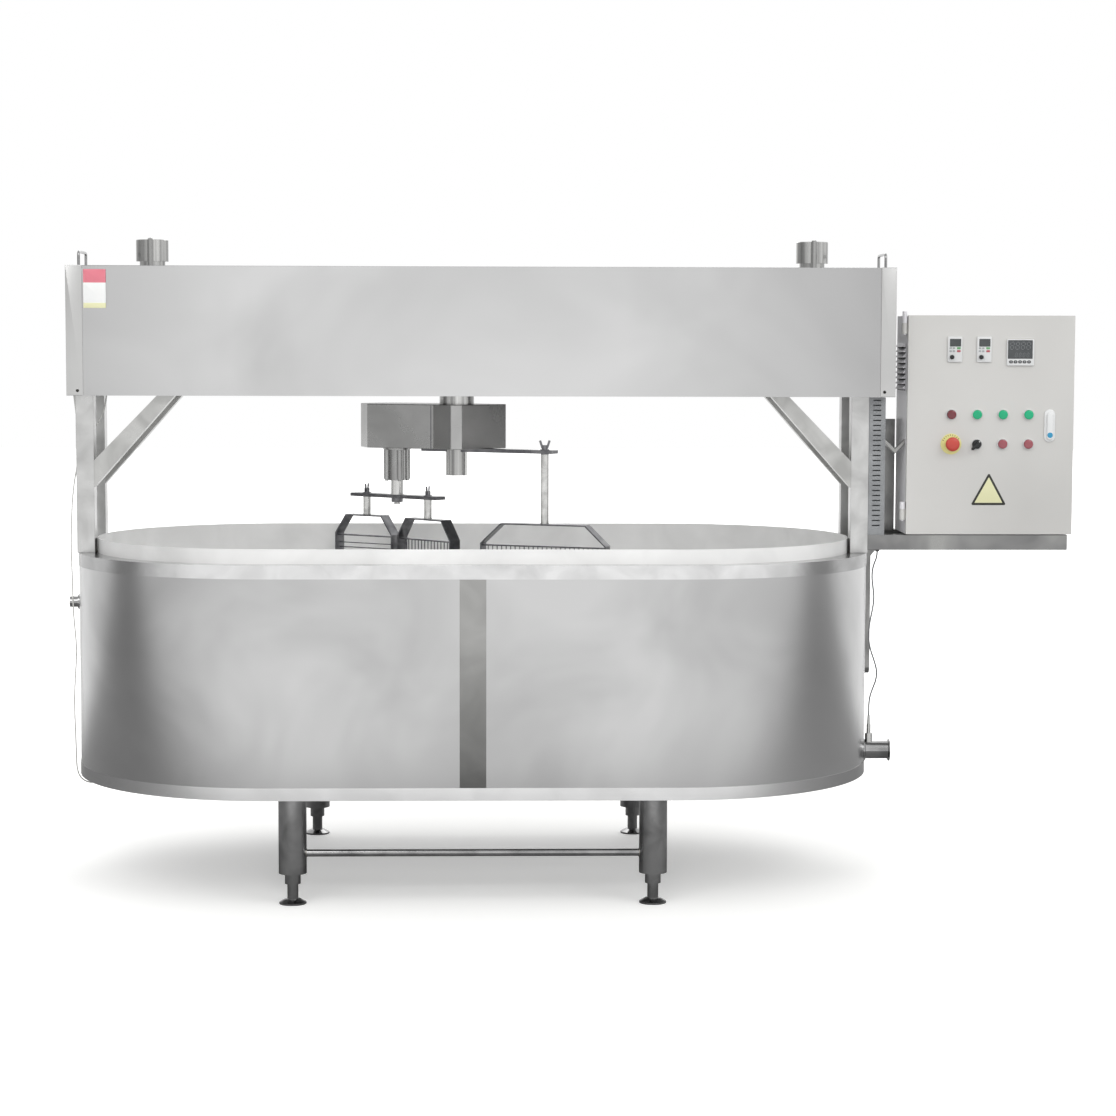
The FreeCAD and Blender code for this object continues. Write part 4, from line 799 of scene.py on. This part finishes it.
# selector: a round boss with a lever laid across it towards the lower left, and a pale pointer line
selX, selZ = middleOf("green_button_1")[0], middleOf("red_button_1")[1]
low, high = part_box("selector_switch")
leverTurn = math.radians(225)
pointing = np.array([math.cos(leverTurn), 0, math.sin(leverTurn)])
crossing = np.array([-pointing[2], 0, pointing[0]])
selectorCentre = np.array([selX, faceY, selZ])
boss = lathePart(domeProfile(0.0126, 0.002, 0.0105, 0.0003), selectorCentre, towardsYou)
stemPart = lathePart(stemProfile(faceY - high.y, 0.0048, 0.003), selectorCentre, towardsYou, 20)
lever = platePart(rectangle(0.0036, 0.0145), 0.0030, softRings(faceY - low.y - 0.009, 0.0012),
                  selectorCentre + np.array([0, -0.009, 0]) + pointing * 0.0078, -crossing, pointing)
makePiece("selectorKnob", [boss, stemPart, lever], blackPlastic, "selector_switch", ["selector_switch"])
makePiece("selectorPointer",
          [platePart(rectangle(0.0013, 0.0042), 0.0006, softRings(0.0008, 0.0002),
                     selectorCentre + np.array([0, -0.0104, 0]) - pointing * 0.0072, -crossing, pointing, 3)],
          labelPale, "selector_switch", ())

# keypad knobs: knurled rim as a radius that ripples with the angle, and a raised pointer
for k in (1, 2):
    name = "speed_knob_%d" % k
    x, z = middleOf(name)
    low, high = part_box(name)
    reach = faceY - low.y
    profile = np.array([(0, faceY - high.y), (0.0024, faceY - high.y), (0.0024, 0.0066), (0.0060, 0.0066),
                        (0.0060, reach - 0.0014), (0.0054, reach - 0.0006), (0.0045, reach - 0.0003),
                        (0, reach - 0.0003)])
    angle = np.linspace(0, 2 * np.pi, 60, endpoint=False)[:, None]
    ripple = 1 + 0.035 * np.cos(20 * angle) * (profile[None, :, 0] > 0.005)
    radius = profile[None, :, 0] * ripple
    knob = np.stack([x + radius * np.cos(angle), faceY - np.broadcast_to(profile[None, :, 1], radius.shape),
                     z + radius * np.sin(angle)], -1)
    pointer = platePart(rectangle(0.0006, 0.0022), 0.0003, softRings(0.0006, 0.0002),
                        (x, faceY - reach + 0.0005, z + 0.0026), sideways, upward, 3)
    makePiece("speedKnob%d" % k, [gridPart(knob, True), pointer], blackPlastic, name, [name])

# swing handle: a raised pill frame on the door, and inside it the lever with its round blue cap
low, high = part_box("door_handle")
handleX, handleZ = (low.x + high.x) / 2, (low.z + high.z) / 2
handleTall = (high.z - low.z) / 2
framePill = [doorPlate(*panel["lock"]["place"], *panel["lock"]["half"], 0.0150, 0.0045, 0.0020, 0.0, 9)]
makePiece("lockFrame", framePill, whiteEnamel, "door", ())
leverBody = platePart(rectangle(0.0088, handleTall), 0.0086, softRings(faceY - low.y - 0.0047, 0.0030),
                      (handleX, faceY - 0.0047, handleZ), sideways, upward, 8)
tang = boxPart((handleX - 0.004, faceY - 0.006, handleZ + handleTall - 0.020),
               (handleX + 0.004, high.y, handleZ + handleTall - 0.012), 0.0008)
makePiece("lockLever", [leverBody, tang], whiteEnamel, "door_handle", ["door_handle"])
makePiece("lockCap",
          [lathePart(domeProfile(0.0078, 0.0, 0.0012, 0.0005, 0.0005),
                     (handleX, low.y + 0.0008, handleZ - handleTall + 0.0135), towardsYou, 32)], blueCap,
          "door_handle", ())

# a plain triangular label: a dark rounded border with a pale field on it
apexX, apexZ = panel["label"]["apex"]
baseL, baseR, baseZ = panel["label"]["base"]
outline = [(baseL - apexX, baseZ - apexZ), (baseR - apexX, baseZ - apexZ), (0.0, 0.0)]
makePiece("triangleBorder",
          [platePart(outline, 0.0035, softRings(0.0004, 0.0001), (apexX, faceY, apexZ), sideways, upward)],
          labelBlack, "door", ())
middleTri = np.mean(outline, 0)
smaller = [tuple(middleTri + (np.array(c) - middleTri) * 0.79) for c in outline]
makePiece("triangleField",
          [platePart(smaller, 0.0012, softRings(0.0003, 0.0001), (apexX, faceY - 0.0004, apexZ), sideways,
                     upward)], labelYellow, "door", ())

# a plain label of three blocks on the beam's front
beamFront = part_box("beam_cover")[0].y
frontY = beamFront + 0.0013
labelBlocks = [("beamLabelTop", labelRed, 1.6985, 0.0185), ("beamLabelMiddle", labelPale, 1.6520, 0.0280),
               ("beamLabelBottom", labelYellow, 1.6170, 0.0070)]
for name, material, z, halfHigh in labelBlocks:
    makePiece(name,
              [platePart(rectangle(0.0310, halfHigh), 0.0015, softRings(0.0004, 0.0001),
                         (-1.3199, frontY, z), sideways, upward)], material, "vat", ())
print("panel devices and labels made")

# weld beads, each a ripple along the seam: the bead's radius swells and pinches every few millimetres


def beadPart(path, radius, ripple=0.0032, closed=True, level=(0, 0, 1)):
    dense = spacedLoop(path, ripple / 3, closed)
    phase = np.arange(len(dense)) * 2 * np.pi / 3.2
    return sweepPart(dense, radius * (1 + 0.14 * np.sin(phase)), closed, level, 7)


def squareRing(x0, x1, y0, y1, z):
    corner = 0.004
    flat = roundedLoop([(x0, y0), (x1, y0), (x1, y1), (x0, y1)], corner, 4)
    return np.column_stack([flat, np.full(len(flat), z)])


def roundRing(x, y, radius, z):
    angle = np.linspace(0, 2 * np.pi, 40, endpoint=False)
    return np.column_stack([x + radius * np.cos(angle), y + radius * np.sin(angle), np.full(len(angle), z)])


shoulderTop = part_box("posts")[0].z
tubCentreX = -0.27135
weld = {"postX": (1.069, 1.119), "postY": (0.057, 0.107), "legX": 0.4885, "legY": 0.5139, "legTop": 0.2895,
        "legRing": 0.0385, "legRadius": 0.0381, "barRing": 0.0102, "barZ": 0.138, "thick": 0.0019,
        "thin": 0.0014}
beads = []
for sx in (-1, 1):
    for sy in (-1, 1):
        xs = sorted(sx * x + tubCentreX for x in weld["postX"])
        ys = sorted(sy * y for y in weld["postY"])
        beads.append(beadPart(squareRing(*xs, *ys, shoulderTop + 0.0008), weld["thick"]))
for sx in (-1, 1):
    for sy in (-1, 1):
        leg = roundRing(sx * weld["legX"] + tubCentreX, sy * weld["legY"], weld["legRing"], weld["legTop"])
        beads.append(beadPart(leg, weld["thick"]))
        # where the stretcher meets the leg: a ring round the bar that follows the leg's own curve
        turn = np.linspace(0, 2 * np.pi, 28, endpoint=False)
        acrossBar, upBar = weld["barRing"] * np.cos(turn), weld["barRing"] * np.sin(turn)
        bulge = np.sqrt(np.maximum(weld["legRadius"] ** 2 - acrossBar ** 2, 0))
        wrap = np.column_stack([sx * (weld["legX"] - bulge) + tubCentreX, sy * weld["legY"] + acrossBar,
                                weld["barZ"] + upBar])
        beads.append(beadPart(wrap, weld["thin"], level=(1, 0, 0)))
makePiece("weldBeads", beads, weldSteel, "vat", (), 60)
print("weld beads laid")

# small parts the sheet work shows: end strips of the beam,
# screws, the head's lap, and bright sleeves on the rods

beamLow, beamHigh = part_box("beam_cover")
endStrips = [boxPart((x0, frontY - 0.0006, beamLow.z + 0.001), (x1, frontY + 0.0020, beamHigh.z - 0.001),
                     0.0005) for x0, x1 in ((beamLow.x + 0.0005, -1.35465), (0.8657, beamHigh.x - 0.0005))]
# painted light: the end strips are paler than the beam's darkened ends, standing for light on the end covers'
# chamfers
endStripSteel = stainless("stainlessEndStrip", grain=alongZ, dark="#BEBEBD", light="#CACAC9",
                          rough=0.3, waveDepth=0.001)
makePiece("beamEndStrips", endStrips, endStripSteel, "vat", ())


def screwPart(centre, outward, radius=0.0042):
    # a pan head: a flat foot, a rounded shoulder and a shallow crown round the outward direction
    turn = np.linspace(0, np.pi / 2, 5)
    crown = [(radius * math.cos(a), radius * 0.55 * math.sin(a)) for a in turn[:-1]]
    return lathePart([(0, -0.0012), (radius, -0.0012)] + crown + [(0, radius * 0.55)], centre, outward, 20)


frontFace, rightFace = (-0.485, -0.8745, 0), (0.8745, -0.485, 0)
headScrews = [screwPart(place, face, 0.0034) for place, face in
              (((-0.40695, -0.0646, 1.2591), frontFace), ((-0.37475, -0.0825, 1.2597), frontFace),
               ((-0.23815, -0.0562, 1.2582), rightFace))]
makePiece("headScrews", headScrews, pipeSteel, "turret", ())
lapCentre = np.array([-0.39415, -0.0717, 1.278]) + np.array(frontFace) * 0.0001
lap = platePart(rectangle(0.0015, 0.0625), 0.0006, softRings(0.0009, 0.0004), lapCentre,
                (-0.8745, 0.485, 0), upward)
makePiece("headLap", [lap], barSteel, "turret", ())
beamScrews = [screwPart((x, side * (0.0002 - beamFront), 1.3818), (0, side, 0), 0.0042)
              for side in (-1, 1) for x in (-1.3700, 0.8770)]
makePiece("beamScrews", beamScrews, chainSteel, "vat", ())

rodSteel = stainless("stainlessRodPolished", grain=(6, 6, 700), dark="#B8B8B6", light="#DCDCDA", rough=0.12,
                     cloudScale=25.0, waveDepth=0.0001)
rods = {"large_harp": ("largeHarpRod", "turret", 1.006, 1.203),
        "left_harp": ("leftHarpRod", "planet", 1.013, 1.0655),
        "right_harp": ("rightHarpRod", "planet", 1.011, 1.0655)}
for node, (pieceName, body, bottom, top) in rods.items():
    low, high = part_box(node)
    rodX, rodY = (low.x + high.x) / 2, (low.y + high.y) / 2
    sleeve = [(0.0, bottom), (0.01165, bottom), (0.01165, top), (0.0, top)]
    makePiece(pieceName, [lathePart(sleeve, (rodX, rodY, 0), (0, 0, 1), 40)], rodSteel, body, ())
print("small fittings made")

# painted shadow: thin dark strips on both side walls of the cabinet, in the gaps between its louvre blades
louvre = {"first": 1.388, "count": 9, "pitch": 0.015, "y": (-0.1165, 0.0105), "tall": 0.0034,
          "proud": 0.0022, "walls": ((0.95115, -1), (1.41865, 1))}
gaps = []
for k in range(louvre["count"]):
    z = louvre["first"] + k * louvre["pitch"] - louvre["tall"]
    for wallX, sign in louvre["walls"]:
        x0, x1 = sorted((wallX, wallX + sign * louvre["proud"]))
        gaps.append(boxPart((x0, louvre["y"][0], z), (x1, louvre["y"][1], z + louvre["tall"]), 0.0002))
makePiece("louvreGapShadows", gaps, gasketRubber, "vat", ())
print("louvre gaps made")

# the floor

floorMesh = bpy.data.meshes.new("floor")
halfFloor = studio["floorHalf"]
floorMesh.from_pydata([(x, z, 0) for x, z in rectangle(halfFloor, halfFloor)], [], [(0, 1, 2, 3)])
floorMaterial, floorTree, floorShader, floorCoords = newMaterial("studioFloorPale")
floorShader.inputs["Roughness"].default_value = 0.7
seenFloor = addNode(floorTree, "ShaderNodeLightPath").outputs["Is Camera Ray"]
floorColour = addNode(floorTree, "ShaderNodeMix", {"data_type": "RGBA"}, {
    0: seenFloor, 6: linear(studio["floorInReflections"]), 7: linear(studio["floorHex"])})
floorTree.links.new(floorColour.outputs[2], floorShader.inputs["Base Color"])
# the floor brightens to the room's own white with distance from the object, so that it has no visible edge
distance = addNode(floorTree, "ShaderNodeVectorMath", {"operation": "LENGTH"}, {0: floorCoords})
fade = ranged(floorTree, distance.outputs["Value"], 0.6, 4.2, 0.28, 1.0, "SMOOTHSTEP")
floorShader.inputs["Emission Color"].default_value = (1, 1, 1, 1)
floorParts = addNode(floorTree, "ShaderNodeSeparateXYZ", {}, {0: floorCoords})
ahead = calculated(floorTree, "ABSOLUTE", floorParts.outputs["Y"])
mirrored = ranged(floorTree, ahead, 1.5, 3.2, 0.0, studio["floorGlow"], "SMOOTHSTEP")
glow = addNode(floorTree, "ShaderNodeMix", {}, {0: seenFloor, 2: mirrored, 3: fade})
floorTree.links.new(glow.outputs[0], floorShader.inputs["Emission Strength"])
floorMesh.materials.append(floorMaterial)
floor = placeObject("floor", floorMesh)
